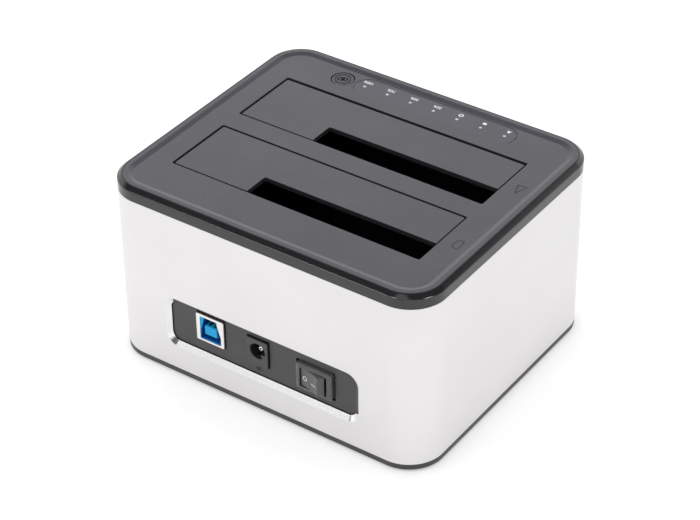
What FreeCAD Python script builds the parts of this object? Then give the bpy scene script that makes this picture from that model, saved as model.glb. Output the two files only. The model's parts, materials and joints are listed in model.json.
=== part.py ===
import FreeCAD, Part
import math
import os

from FreeCAD import Vector

os.makedirs("parts", exist_ok=True)

# Two-bay drive dock with a copy button.
# Millimetres, +Z up, origin at the middle of the underside of the feet.
# -Y is the connector side, +Y the user's side, +X is right when the connectors are faced.

# Drives and the two bays
drive_width = 101.6          # large drive, along X
drive_slack = 3.1            # room beside a large drive
drive_thickness = 26.1       # large drive, along Y
small_drive_width = 69.85
small_drive_slack = 2.3
small_slot_depth = 11.2      # the part of each opening that the flap leaves open
rail_width = 9.55            # lid between the two openings
bay_offset = -0.5            # middle of the openings, along X

# Case
side_margin = 15.15          # case side to an opening that is centred
front_margin = 22.0          # connector side to the front opening
rear_margin = 23.25          # rear opening to the user's side
corner_radius = 14.0
sleeve_wall = 1.5
foot_height = 0.6            # how far the feet stand below the base
base_band = 2.3              # visible height of the base under the sleeve
sleeve_height = 66.8
lid_height = 5.3

# Lid
plate_inset = 1.9            # rim outline to the matte plate's outline
plate_thickness = 2.4
shoulder_drop = 1.4          # slope round the rim's top, outside the plate
shoulder_width = 1.65
shoulder_low = 1.5           # foot of that slope below the top of the case
border_width = 2.0           # raised border of the plate
ridge_width = 1.4            # slope from the border down to the flat middle
middle_recess = 0.6
ledge_width = 4.2            # rim shelf that the plate lies on
ledge_depth = 1.8
skirt_height = 4.0           # rim skirt inside the sleeve
skirt_width = 1.5
post_radius = 3.5
post_inset_x = 9.0
post_inset_y = 9.2

# Flaps and hinges
flap_thickness = 1.8
flap_room = 1.9              # opening's depth beyond a large drive and an open flap
flap_recess = 0.3            # flap top below the plate's middle
flap_gap = 0.7               # at the ends and the connector-side edge
flap_back_gap = 0.55
hinge_depth = 2.2            # flap underside to the hinge line
arm_drop = 0.35              # plate underside to the top of the flap arms
pin_radius = 1.0
pin_clearance = 0.05
knuckle_radius = 2.0
knuckle_room = 0.4
arm_width = 6.0
spring_wire = 0.5
spring_turns = 2
spring_pitch = 0.75

# Bay wells
well_wall = 1.3
well_floor = 1.5
floor_above_board = 5.5      # top of the well floor over the main board

# Boards and sockets
board_thickness = 1.6
board_top = 19.5
socket_length = 41.6
socket_width = 6.2
socket_height = 10.0
socket_from_edge = 31.1      # drive's right edge of the opening to the middle of the socket
socket_from_front = 4.5      # front wall of the bay to the middle of the socket

# Connector window and panel
window_left = -40.0
window_right = 40.2
window_low = 14.7
window_high = 32.4
window_radius = 3.5
window_chamfer = 2.0         # width of the slope round the window, through the whole wall
panel_thickness = 1.6
panel_gap = 0.4              # sleeve's inside to the panel's face
panel_overlap = 2.2
cutout_gap = 0.3

# USB receptacle
usb_middle = -22.45
usb_width = 12.1
usb_height = 11.5
usb_depth = 17.0
usb_standoff = 0.4
usb_proud = 0.9
usb_sheet = 0.35
usb_mouth_depth = 8.8
usb_tongue_half = 2.65
usb_tongue_low = 2.9         # over the underside of the shell
usb_tongue_high = 6.7
usb_tongue_set_back = 0.4

# DC inlet
jack_middle = -1.75
jack_width = 9.1
jack_height = 11.0
jack_depth = 13.5
jack_proud = 0.9
jack_hole_radius = 3.2
jack_hole_depth = 9.5
jack_hole_height = 5.9       # hole centre over the main board
jack_pin_radius = 1.0
jack_pin_set_back = 2.1
jack_leaf_width = 3.0
jack_leaf_middle = 0.37      # right of the bore's middle
jack_leaf_front = 1.0

# Rocker switch
switch_middle = 22.85
switch_height = 23.5
bezel_width = 15.2
bezel_height = 10.9
bezel_proud = 1.9
bezel_bevel = 1.3
bezel_bevel_depth = 0.6
bezel_gap = 0.55             # panel cutout round the bezel
opening_width = 11.4
opening_height = 8.2
rocker_half_face = 4.4
rocker_reach = 5.1           # pivot to the middle of the rocker's face
rocker_pivot_depth = 4.4     # bezel face to the pivot
rocker_tilt = 15.0           # degrees that either end is pressed in
rocker_side_gap = 0.2
trunnion_radius = 1.0
switch_wall = 0.45

# Clone button and indicators
button_x = -35.1
button_inset = 12.2          # user's side to the middle of the button
button_radius = 4.35
button_gap = 0.25
button_travel = 1.0
button_thickness = 2.3
led_count = 7
led_first = -24.9
led_pitch = 10.15
led_inset = 13.0
inlay_left = -29.3
inlay_right = 39.7
inlay_middle_inset = 12.0
inlay_width = 11.3
inlay_thickness = 0.5
pipe_width = 1.15            # half width of the slot that the light guides rise through
pipe_slot = 2.6              # slot's reach past the end lamps
indicator_drop = 8.6         # plate underside to the indicator board
lug_height = 0.6
tact_size = 5.2
tact_height = 3.4
plunger_radius = 1.7

# Worked out from the sizes above
opening_length = drive_width + drive_slack
case_length = opening_length + 2 * side_margin
opening_width_y = drive_thickness + flap_thickness + flap_room
case_width = front_margin + 2 * opening_width_y + rail_width + rear_margin
sleeve_low = foot_height + base_band
sleeve_top = sleeve_low + sleeve_height
case_height = sleeve_top + lid_height
half_x = case_length / 2
half_y = case_width / 2
open_left = bay_offset - opening_length / 2
open_right = bay_offset + opening_length / 2
slot_left = open_right - small_drive_width - small_drive_slack
front_bay = -half_y + front_margin
rear_bay = front_bay + opening_width_y + rail_width
plate_low = case_height - plate_thickness
middle_top = case_height - middle_recess
flap_top = middle_top - flap_recess
flap_low = flap_top - flap_thickness
hinge_drop = flap_thickness + hinge_depth
hinge_back = hinge_drop
pocket_depth = hinge_back + knuckle_radius + knuckle_room
floor_top = board_top + floor_above_board
board_low = board_top - board_thickness
inner_y = half_y - sleeve_wall
panel_face = -inner_y + panel_gap
panel_back = panel_face + panel_thickness
bezel_face = panel_face - bezel_proud
rocker_pivot_y = bezel_face + rocker_pivot_depth
rocker_radius = math.hypot(rocker_half_face, rocker_reach)
post_x = half_x - post_inset_x
post_y = half_y - post_inset_y
socket_x = open_right - socket_from_edge
ear_length = 7.0
ear_hole = 1.3
indicator_top = plate_low - indicator_drop
indicator_low = indicator_top - 1.6
tact_top = indicator_top + tact_height
button_top = middle_top - 0.05
button_y = half_y - button_inset
led_y = half_y - led_inset
inlay_low = half_y - inlay_middle_inset - inlay_width / 2
inlay_high = inlay_low + inlay_width
inlay_floor = middle_top - inlay_thickness
button_low = button_top - button_thickness


def box(x0, x1, y0, y1, z0, z1):
    return Part.makeBox(x1 - x0, y1 - y0, z1 - z0, Vector(x0, y0, z0))


def rod(x, y, z0, z1, radius):
    return Part.makeCylinder(radius, z1 - z0, Vector(x, y, z0))


def rod_x(x0, x1, y, z, radius):
    return Part.makeCylinder(radius, x1 - x0, Vector(x0, y, z), Vector(1, 0, 0))


def rod_y(x, y0, y1, z, radius):
    return Part.makeCylinder(radius, y1 - y0, Vector(x, y0, z), Vector(0, 1, 0))


def polygon(points):
    return Part.Face(Part.makePolygon(points + [points[0]]))


def rounded_face(x0, x1, y0, y1, radius, place):
    """Rectangle with round corners; place turns the two outline values into a point."""
    turn = math.sqrt(0.5) * radius
    corners = [(x1 - radius, y0 + radius, 1, -1), (x1 - radius, y1 - radius, 1, 1),
               (x0 + radius, y1 - radius, -1, 1), (x0 + radius, y0 + radius, -1, -1)]
    ends = []
    for x, y, right, up in corners:
        side = place(x + right * radius, y)
        flat = place(x, y + up * radius)
        first, last = (flat, side) if right * up < 0 else (side, flat)
        ends.append((first, place(x + right * turn, y + up * turn), last))
    edges = []
    for index, (first, middle, last) in enumerate(ends):
        edges.append(Part.Arc(first, middle, last).toShape())
        edges.append(Part.LineSegment(last, ends[(index + 1) % 4][0]).toShape())
    return Part.Face(Part.Wire(edges))


def slab(x0, x1, y0, y1, radius, z0, z1):
    face = rounded_face(x0, x1, y0, y1, radius, lambda x, y: Vector(x, y, z0))
    return face.extrude(Vector(0, 0, z1 - z0))


def upright(x0, x1, z0, z1, radius, y0, y1):
    face = rounded_face(x0, x1, z0, z1, radius, lambda x, z: Vector(x, y0, z))
    return face.extrude(Vector(0, y1 - y0, 0))


def case_slab(inset, z0, z1):
    """Full plan outline of the case, moved in by inset."""
    return slab(-half_x + inset, half_x - inset, -half_y + inset, half_y - inset,
                corner_radius - inset, z0, z1)


def outline_wire(inset, z):
    face = rounded_face(-half_x + inset, half_x - inset, -half_y + inset, half_y - inset,
                        corner_radius - inset, lambda x, y: Vector(x, y, z))
    return face.OuterWire


def profile_x(points, x0, x1):
    """Outline of (y, z) points drawn out along X."""
    return polygon([Vector(x0, y, z) for y, z in points]).extrude(Vector(x1 - x0, 0, 0))


def profile_z(points, z0, z1):
    return polygon([Vector(x, y, z0) for x, y in points]).extrude(Vector(0, 0, z1 - z0))


def top_edges(shape, z):
    """Edges that lie whole in the plane at height z."""
    near = 1e-4
    return [e for e in shape.Edges if abs(e.BoundBox.ZMin - z) < near and abs(e.BoundBox.ZMax - z) < near]


def fuse_all(shapes):
    whole = shapes[0]
    for shape in shapes[1:]:
        whole = whole.fuse(shape)
    return whole.removeSplitter()


def save(name, shapes):
    shape = Part.makeCompound(shapes) if isinstance(shapes, list) else shapes
    shape.exportStep("parts/" + name + ".step")


def corner_places(x, y):
    return [(sx * x, sy * y) for sx in (-1, 1) for sy in (-1, 1)]


foot_places = corner_places(half_x - 19.0, half_y - 16.0)
foot_radius = 5.0
foot_sink = 0.8
board_half_x = post_x - post_radius - 0.5
board_front = panel_back + 0.3
board_back = half_y - 8.0
board_screw_x = board_half_x - 4.5
board_screw_rows = (board_front + 6.0, board_back - 5.0)
board_screw_places = [(side * board_screw_x, y) for side in (-1, 1) for y in board_screw_rows]
ear_reach = well_wall + ear_length / 2 + 0.4
ear_columns = (open_left - ear_reach, open_right + ear_reach)
ear_places = [(x, y + opening_width_y / 2) for x in ear_columns for y in (front_bay, rear_bay)]
ear_top = plate_low - 4.0
ear_thickness = 2.0
indicator_screw_places = [(-46.0, half_y - 8.8), (44.5, half_y - 8.8)]
case_screw_radius = 1.5
vent_rows = 3
vent_pitch = 7.0


def screw(x, y, head_z, tip_z, head_radius, shank_radius, head_height):
    """Pan-head screw, turned in one piece: the head bears at head_z and the tip is at tip_z."""
    outer = head_z - math.copysign(head_height, tip_z - head_z)
    outline = [(0, outer), (head_radius, outer), (head_radius, head_z),
               (shank_radius, head_z), (shank_radius, tip_z), (0, tip_z)]
    face = polygon([Vector(x + r, y, z) for r, z in outline])
    return face.revolve(Vector(x, y, 0), Vector(0, 0, 1), 360)


# Case -----------------------------------------------------------------------------------------------------

def housing_sleeve():
    tube = case_slab(0, sleeve_low, sleeve_top).cut(case_slab(sleeve_wall, sleeve_low - 1, sleeve_top + 1))

    def window(spread, y):
        face = rounded_face(window_left - spread, window_right + spread, window_low - spread,
                            window_high + spread, window_radius + spread, lambda x, z: Vector(x, y, z))
        return face.OuterWire

    return tube.cut(Part.makeLoft([window(window_chamfer, -half_y), window(0, -inner_y)], True, True))


def base_plate():
    band = case_slab(0, foot_height, sleeve_low)
    band = band.makeChamfer(0.3, top_edges(band, foot_height))
    lip_out = sleeve_wall + 0.2
    lip = case_slab(lip_out, sleeve_low - 0.5, sleeve_low + 5.0)
    lip = lip.cut(case_slab(lip_out + 1.5, sleeve_low - 1, sleeve_low + 6.0))
    lip = lip.cut(box(window_left - panel_overlap - 0.5, window_right + panel_overlap + 0.5,
                      -half_y, panel_back + 0.4, sleeve_low, sleeve_low + 7.0))
    solids = [band, lip]
    for x, y in board_screw_places:
        solids.append(rod(x, y, sleeve_low - 0.5, board_low, 3.0))
    for x, y in corner_places(post_x, post_y):
        solids.append(rod(x, y, sleeve_low - 0.5, sleeve_low + 2.4, post_radius))
    whole = fuse_all(solids)
    cuts = []
    for x, y in board_screw_places:
        cuts.append(rod(x, y, board_low - 9.0, board_low + 1, 1.2))
    for x, y in corner_places(post_x, post_y):
        cuts.append(rod(x, y, 0, foot_height + 2.2, 3.1))
        cuts.append(rod(x, y, 0, sleeve_low + 3.0, case_screw_radius + 0.1))
    for x, y in foot_places:
        cuts.append(rod(x, y, 0, foot_height + foot_sink, foot_radius + 0.2))
    for row in range(vent_rows):
        y = vent_pitch * (row - (vent_rows - 1) / 2)
        for x in (-20.0, 20.0):
            cuts.append(box(x - 14.0, x + 14.0, y - 1.0, y + 1.0, 0, sleeve_low + 1))
    return whole.cut(cuts)


def rubber_feet():
    feet = []
    for x, y in foot_places:
        foot = rod(x, y, 0, foot_height + foot_sink, foot_radius)
        feet.append(foot.makeChamfer(0.4, top_edges(foot, 0)))
    return feet


def case_screws():
    return [screw(x, y, foot_height + 2.2, sleeve_low + 12.0, 2.8, case_screw_radius, 1.7)
            for x, y in corner_places(post_x, post_y)]


# Lid ------------------------------------------------------------------------------------------------------

def lid_rim():
    foot = case_height - shoulder_low
    ring = case_slab(0, sleeve_top + 0.05, foot)
    rims = [outline_wire(0, foot), outline_wire(shoulder_width, foot + shoulder_drop)]
    slope = Part.makeLoft(rims, True, True)
    ring = ring.fuse(slope).cut(case_slab(plate_inset, plate_low, case_height + 1))
    ring = ring.cut(case_slab(plate_inset + ledge_width, sleeve_top - 1, case_height))
    ring = ring.cut(case_slab(plate_inset + 0.8, sleeve_top - 1, plate_low - ledge_depth + 0.8))
    shelf = case_slab(plate_inset, plate_low - ledge_depth, plate_low)
    shelf = shelf.cut(case_slab(plate_inset + ledge_width, 0, case_height))
    skirt_out = sleeve_wall + 0.2
    skirt = case_slab(skirt_out, sleeve_top - skirt_height, plate_low - 0.5)
    skirt = skirt.cut(case_slab(skirt_out + skirt_width, sleeve_top - skirt_height - 1, case_height))
    solids = [ring, shelf, skirt]
    for x, y in corner_places(post_x, post_y):
        solids.append(rod(x, y, sleeve_low + 2.4, plate_low - 0.2, post_radius))
    whole = fuse_all(solids)
    return whole.cut([rod(x, y, sleeve_low, sleeve_low + 16.0, case_screw_radius)
                      for x, y in corner_places(post_x, post_y)])


def bay_opening(y_front, z0, z1):
    return slab(open_left, open_right, y_front, y_front + opening_width_y, 0.6, z0, z1)


def top_plate():
    plate = case_slab(plate_inset + 0.05, plate_low, case_height)
    plate = plate.makeChamfer(0.25, top_edges(plate, case_height))
    border = plate_inset + border_width
    rims = [outline_wire(border, case_height), outline_wire(border + ridge_width, middle_top)]
    dish = Part.makeLoft(rims, True, True)
    rise = case_slab(border, case_height, case_height + 1)
    plate = plate.cut([dish, rise])
    bosses = [rod(x, y, ear_top, plate_low + 0.1, 2.6) for x, y in ear_places]
    bosses += [rod(x, y, indicator_top, plate_low + 0.1, 2.0) for x, y in indicator_screw_places]
    plate = fuse_all([plate] + bosses)
    cuts = [bay_opening(y, plate_low - 1, case_height + 1) for y in (front_bay, rear_bay)]
    cuts.append(rod(button_x, button_y, plate_low - 1, case_height + 1, button_radius + button_gap))
    end = (inlay_high - inlay_low) / 2 - 0.01
    cuts.append(slab(inlay_left, inlay_right, inlay_low, inlay_high, end, inlay_floor, case_height))
    cuts.append(box(led_places()[0] - pipe_slot, led_places()[-1] + pipe_slot,
                    led_y - pipe_width, led_y + pipe_width, plate_low - 1, case_height))
    for x, y in ear_places:
        cuts.append(rod(x, y, ear_top - 1, plate_low - 0.4, 1.0))
    for x, y in indicator_screw_places:
        cuts.append(rod(x, y, indicator_top - 1, plate_low - 0.4, 0.8))
    return plate.cut(cuts)


def led_places():
    return [led_first + led_pitch * index for index in range(led_count)]


def indicator_inlay():
    end = (inlay_high - inlay_low) / 2 - 0.06
    gap = 0.08
    return slab(inlay_left + gap, inlay_right - gap, inlay_low + gap, inlay_high - gap, end - gap,
                inlay_floor, middle_top)


def light_pipes():
    """Bar with a square light guide up to the inlay over each lamp, hung in the plate's slot."""
    bar_top = plate_low - 1.2
    bar_low = bar_top - 1.6
    reach = pipe_slot - 0.3
    half = pipe_width - 0.4
    bar_half = 0.9
    first = led_places()[0] - reach
    last = led_places()[-1] + reach
    bar = box(first, last, led_y - bar_half, led_y + bar_half, bar_low, bar_top)
    guides = [box(x - half, x + half, led_y - half, led_y + half, indicator_top + 1.2, inlay_floor)
              for x in led_places()]
    hook = pipe_width + 0.8
    ends = [box(x, x + 0.8, led_y - hook, led_y + hook, bar_low, plate_low) for x in (first, last - 0.8)]
    return fuse_all([bar] + guides + ends)


def indicator_board():
    left = indicator_screw_places[0][0] - 3.0
    right = indicator_screw_places[1][0] + 3.0
    low = rear_bay + opening_width_y + pocket_depth + well_wall + 0.5
    board = slab(left, right, low, half_y - 4.2, 1.0, indicator_low, indicator_top)
    return board.cut([rod(x, y, 0, case_height, 1.0) for x, y in indicator_screw_places])


def indicator_leds():
    lamps = []
    for x in led_places():
        base = box(x - 0.8, x + 0.8, led_y - 0.4, led_y + 0.4, indicator_top, indicator_top + 0.3)
        lens = box(x - 0.5, x + 0.5, led_y - 0.4, led_y + 0.4, indicator_top + 0.3, indicator_top + 0.6)
        lamps.append(base.fuse(lens))
    return lamps


def indicator_screws():
    return [screw(x, y, indicator_low, indicator_top + 6.0, 1.8, 0.75, 1.1)
            for x, y in indicator_screw_places]


def tact_switch():
    half = tact_size / 2
    body = box(button_x - half, button_x + half, button_y - half, button_y + half, indicator_top, tact_top)
    body = body.makeChamfer(0.4, top_edges(body, tact_top))
    return body.cut(rod(button_x, button_y, tact_top - 2.2, tact_top + 1, plunger_radius + 0.08))


def tact_plunger():
    low = tact_top - 2.2 + button_travel + 0.1
    return rod(button_x, button_y, low, tact_top + 1.2, plunger_radius)


def clone_button():
    """Round cap with a ring groove, a lug each side to hold it under the plate, and a stem to the plunger."""
    cap = rod(button_x, button_y, button_low, button_top, button_radius)
    cap = cap.makeChamfer(0.25, top_edges(cap, button_top))
    groove = rod(button_x, button_y, button_top - 0.2, button_top + 1, button_radius - 0.9)
    groove = groove.cut(rod(button_x, button_y, button_low, case_height, button_radius - 1.25))
    reach = button_radius + 1.4
    lugs = box(button_x - reach, button_x + reach, button_y - 2.0, button_y + 2.0,
               button_low - lug_height, plate_low - 0.15)
    stem = rod(button_x, button_y, tact_top + 1.2, button_low + 0.2, 1.5)
    return fuse_all([cap.cut(groove), lugs, stem])


# Flaps ----------------------------------------------------------------------------------------------------

def hinge_axis(y_front):
    """Y and Z of a flap's hinge line."""
    return y_front + opening_width_y + hinge_back, flap_top - hinge_drop


def arm_places():
    return [open_left + 10.0, bay_offset - 3.0, open_right - 17.0]


def flap(y_front):
    y_axis, z_axis = hinge_axis(y_front)
    y_back = y_front + opening_width_y
    edge = y_back - flap_back_gap
    panel = slab(open_left + flap_gap, open_right - flap_gap, y_front + flap_gap, edge, 0.6,
                 flap_low, flap_top)
    notch = slab(slot_left, open_right + 5, y_front - 5, y_front + small_slot_depth, 0.8,
                 flap_low - 1, flap_top + 1)
    arm_top = plate_low - arm_drop
    root = y_back - 9.0
    outline = [(root, flap_low + 0.1), (edge, flap_low + 0.1), (edge, arm_top),
               (y_axis - 0.9, arm_top), (y_axis + 1.2, z_axis + 1.6), (y_axis + 1.2, z_axis - 1.6),
               (y_axis - 1.0, z_axis - 1.7), (y_back - 1.6, z_axis - 0.1), (root, flap_low - 0.9)]
    arms = []
    for x in arm_places():
        knuckle = rod_x(x, x + arm_width, y_axis, z_axis, knuckle_radius)
        arms.append(profile_x(outline, x, x + arm_width).fuse(knuckle))
    whole = fuse_all([panel.cut(notch)] + arms)
    return whole.cut(rod_x(open_left - 1, open_right + 1, y_axis, z_axis, pin_radius + pin_clearance))


def hinge_pin(y_front):
    y_axis, z_axis = hinge_axis(y_front)
    pin = rod_x(open_left - well_wall, open_right + well_wall, y_axis, z_axis, pin_radius)
    ends = [e for e in pin.Edges if e.Curve.TypeId == "Part::GeomCircle"]
    return pin.makeChamfer(0.25, ends)


def door_spring(y_front):
    """Torsion spring round the pin: a helix with one leg to the well's back wall and one under the flap."""
    y_axis, z_axis = hinge_axis(y_front)
    coil_radius = pin_radius + 0.25 + spring_wire / 2
    start = arm_places()[-1] + arm_width + 1.0
    wire_radius = spring_wire / 2
    section = [Vector(coil_radius + wire_radius, 0, 0), Vector(coil_radius, 0, wire_radius),
               Vector(coil_radius - wire_radius, 0, 0), Vector(coil_radius, 0, -wire_radius)]
    helix = Part.makeHelix(spring_pitch, spring_pitch * spring_turns, coil_radius)
    ring = Part.makePolygon(section + [section[0]])
    coil = Part.Wire(helix.Edges).makePipeShell([ring], True, True)
    coil.rotate(Vector(0, 0, 0), Vector(0, 1, 0), 90)
    # the helix now runs along +X and both ends lie on the underside of the coil
    coil.translate(Vector(start, y_axis, z_axis))
    end = start + spring_pitch * spring_turns
    low = z_axis - coil_radius - wire_radius
    back = y_axis + knuckle_radius + knuckle_room - 0.1
    back_leg = box(start - wire_radius, start + wire_radius, y_axis, back, low, low + spring_wire)
    flap_leg = box(end - wire_radius, end + wire_radius, y_axis - 3.8, y_axis, low, low + spring_wire)
    return coil.fuse([back_leg, flap_leg])


def bay_well(y_front, relief):
    y_back = y_front + opening_width_y
    y_axis, z_axis = hinge_axis(y_front)
    pocket = y_back + pocket_depth
    reach = opening_width_y + hinge_back
    step_z = z_axis - reach - 1.5
    guide = y_back + 0.3
    left = open_left - well_wall
    right = open_right + well_wall
    outside = [(y_front - well_wall, floor_top - well_floor), (guide + well_wall, floor_top - well_floor),
               (guide + well_wall, step_z - well_wall * 2), (pocket + well_wall, step_z + 3.0),
               (pocket + well_wall, plate_low), (y_front - well_wall, plate_low)]
    inside = [(y_front, floor_top), (guide, floor_top), (guide, step_z - well_wall * 2 + 0.6),
              (pocket, step_z + 3.6), (pocket, plate_low + 1), (y_front, plate_low + 1)]
    shell = profile_x(outside, left, right).cut(profile_x(inside, open_left, open_right))
    ears = []
    for x, y in ear_places:
        if y_front < y < y_back:
            near = left + 0.2 if x < 0 else right - 0.2
            far = x - 3.2 if x < 0 else x + 3.2
            x0, x1 = sorted((near, far))
            ears.append(box(x0, x1, y - 4.0, y + 4.0, ear_top - ear_thickness, ear_top))
            rib0, rib1 = sorted((near, near + math.copysign(1.8, x)))
            ears.append(box(rib0, rib1, y - 4.0, y - 2.8, ear_top - 6.0, ear_top - ear_thickness))
    whole = fuse_all([shell] + ears)
    cuts = [rod_x(left - 1, right + 1, y_axis, z_axis, pin_radius + 0.03)]
    half_slot = socket_length / 2 + 0.4
    slot_y = y_front + socket_from_front
    cuts.append(slab(socket_x - half_slot, socket_x + half_slot, slot_y - socket_width / 2 - 0.4,
                     slot_y + socket_width / 2 + 0.4, 0.8, floor_top - well_floor - 1, floor_top + 1))
    cuts += [rod(x, y, ear_top - 4, ear_top + 1, ear_hole) for x, y in ear_places if y_front < y < y_back]
    for x in (open_left + 12.0, open_left + 24.0, open_right - 20.0):
        cuts.append(box(x - 3.5, x + 3.5, y_front + 14.0, y_front + 24.0,
                        floor_top - well_floor - 1, floor_top + 1))
    if relief:
        cuts.append(box(button_x - 6.6, button_x + 6.6, pocket - 0.6, pocket + well_wall + 1,
                        button_low - lug_height - button_travel - 0.6, plate_low + 1))
    return whole.cut(cuts)


def bay_screws():
    return [screw(x, y, ear_top - ear_thickness, plate_low - 0.8, 2.2, 0.95, 1.4) for x, y in ear_places]


# Boards ---------------------------------------------------------------------------------------------------

switch_notch = (switch_middle - bezel_width / 2 - 0.4, switch_middle + bezel_width / 2 + 0.4)
switch_back = bezel_face + 14.0
terminal_y = switch_back + 2.2
lug_reach = 9.6


def main_board():
    board = slab(-board_half_x, board_half_x, board_front, board_back, 1.5, board_low, board_top)
    cuts = [box(switch_notch[0], switch_notch[1], board_front - 1, switch_back + 0.5, 0, board_top + 1)]
    cuts += [rod(x, y, 0, board_top + 1, 1.4) for x, y in board_screw_places]
    for x in terminal_places():
        cuts.append(box(x - 1.2, x + 1.2, terminal_y - 0.6, terminal_y + 0.6, 0, board_top + 1))
    leg_y = panel_face - usb_proud + usb_depth - 5.0
    cuts += [rod(usb_middle + x, leg_y, 0, board_top + 1, 0.75) for x in (-5.3, 5.3)]
    return board.cut(cuts)


def terminal_places():
    return [switch_middle - 3.4, switch_middle + 3.4]


def board_screws():
    return [screw(x, y, board_top, board_low - 7.0, 2.4, 1.15, 1.6) for x, y in board_screw_places]


def sata_socket(y_front):
    """Upright 22-way receptacle: a long body with two L-shaped slots, one for data and one for power."""
    y = y_front + socket_from_front
    half = socket_length / 2
    top = board_top + socket_height
    body = slab(socket_x - half, socket_x + half, y - socket_width / 2, y + socket_width / 2, 1.0,
                board_top, top)
    body = body.makeChamfer(0.4, top_edges(body, top))
    blade = 1.3
    hook = 2.5
    cuts = []
    for x0, x1 in ((socket_x - 16.7, socket_x - 6.2), (socket_x - 3.6, socket_x + 17.2)):
        cuts.append(box(x0, x1, y - blade / 2, y + blade / 2, top - 5.5, top + 1))
        cuts.append(box(x0, x0 + 1.1, y - hook + blade / 2, y + blade / 2, top - 5.5, top + 1))
    for x in (socket_x - half, socket_x + half):
        cuts.append(box(x - 1.2, x + 1.2, y - 0.9, y + 0.9, top - 4.0, top + 1))
    return body.cut(cuts)


def sata_contacts(y_front):
    y = y_front + socket_from_front
    top = board_top + socket_height
    blades = []
    for count, first in ((7, socket_x - 15.1), (15, socket_x - 1.9)):
        for index in range(count):
            x = first + 1.27 * index
            blades.append(box(x - 0.3, x + 0.3, y + 0.45, y + 0.65, top - 5.5, top - 1.2))
    return blades


def bridge_chip():
    x, y = -28.0, 0.0
    half = 7.0
    body = box(x - half, x + half, y - half, y + half, board_top + 0.1, board_top + 1.3)
    body = body.makeChamfer(0.25, top_edges(body, board_top + 1.3))
    legs = []
    for index in range(6):
        along = -half + 1.7 + 2.0 * index
        for side in (-1, 1):
            near, far = sorted((side * (half - 0.5), side * (half + 1.0)))
            legs.append(box(x + along, x + along + 0.6, y + near, y + far, board_top, board_top + 0.3))
            legs.append(box(x + near, x + far, y + along, y + along + 0.6, board_top, board_top + 0.3))
    return body.fuse(legs)


def crystal():
    x, y = -28.0, 14.0
    can = slab(x - 5.5, x + 5.5, y - 2.3, y + 2.3, 2.29, board_top + 0.4, board_top + 3.4)
    flange = slab(x - 5.9, x + 5.9, y - 2.6, y + 2.6, 2.59, board_top, board_top + 0.4)
    return can.makeChamfer(0.4, top_edges(can, board_top + 3.4)).fuse(flange)


def capacitors():
    cans = []
    radius = 3.15
    foot = radius + 0.2
    low = board_top + 1.2
    for x, y in ((9.5, board_front + 9.0), (36.5, board_front + 5.0), (-37.0, board_front + 9.0)):
        can = rod(x, y, low, low + 7.7, radius)
        can = can.makeChamfer(0.5, top_edges(can, low + 7.7))
        cans.append(can.fuse(box(x - foot, x + foot, y - foot, y + foot, board_top, low)))
    return cans


def inductors():
    coils = []
    for x, y in ((-44.0, -24.0), (-44.0, -14.0)):
        core = slab(x - 3.5, x + 3.5, y - 3.5, y + 3.5, 1.2, board_top, board_top + 3.0)
        coils.append(core.makeChamfer(0.3, top_edges(core, board_top + 3.0)))
    return coils


# Flat cable from the indicator board down to the main board
cable_x = 6.0
cable_width = 13.0
cable_thickness = 0.3
cable_y = board_back - 2.2
header_height = 5.2
header_depth = 4.0


def ribbon_headers():
    """Facing sockets on the two boards, each with a slot for one end of the cable."""
    half = cable_width / 2 + 1.5
    slot_half = cable_width / 2 + 0.1
    headers = []
    for root, up in ((board_top, 1), (indicator_low, -1)):
        tip = root + up * header_height
        low, high = sorted((root, tip))
        block = box(cable_x - half, cable_x + half, cable_y - header_depth / 2, cable_y + header_depth / 2,
                    low, high)
        block = block.makeChamfer(0.5, top_edges(block, tip))
        slot_low, slot_high = sorted((root + up, tip + up))
        headers.append(block.cut(box(cable_x - slot_half, cable_x + slot_half, cable_y - 0.25, cable_y + 0.25,
                                     slot_low, slot_high)))
    return headers


def ribbon_cable():
    """Flat cable with a shallow bow: straight ends joined by four equal arcs."""
    z_low = board_top + 1.2
    z_high = indicator_low - 1.2
    straight = header_height + 1.0
    bow_turn = math.radians(14.0)
    radius = (z_high - z_low - 2 * straight) / (4 * math.sin(bow_turn))
    sides = []
    ends = []
    for offset in (-cable_thickness / 2, cable_thickness / 2):
        foot = Vector(0, cable_y + offset, z_low)
        y = cable_y + offset
        z = z_low + straight
        heading = 0.0
        sides.append(Part.LineSegment(foot, Vector(0, y, z)).toShape())
        for bend in (-1, 1, 1, -1):
            reach = bend * (radius - bend * offset)
            middle_y = y + reach * math.cos(heading)
            middle_z = z - reach * math.sin(heading)
            points = [Vector(0, y, z)]
            for part in (0.5, 1.0):
                turned = heading + bend * bow_turn * part
                points.append(Vector(0, middle_y - reach * math.cos(turned),
                                     middle_z + reach * math.sin(turned)))
            sides.append(Part.Arc(*points).toShape())
            heading += bend * bow_turn
            y = points[2].y
            z = points[2].z
        sides.append(Part.LineSegment(Vector(0, y, z), Vector(0, y, z_high)).toShape())
        ends.append((foot, Vector(0, y, z_high)))
    caps = [Part.LineSegment(ends[0][end], ends[1][end]).toShape() for end in (0, 1)]
    strip = Part.Face(Part.Wire(Part.__sortEdges__(sides + caps))).extrude(Vector(cable_width, 0, 0))
    strip.translate(Vector(cable_x - cable_width / 2, 0, 0))
    return strip


# Connector side -------------------------------------------------------------------------------------------

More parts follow.
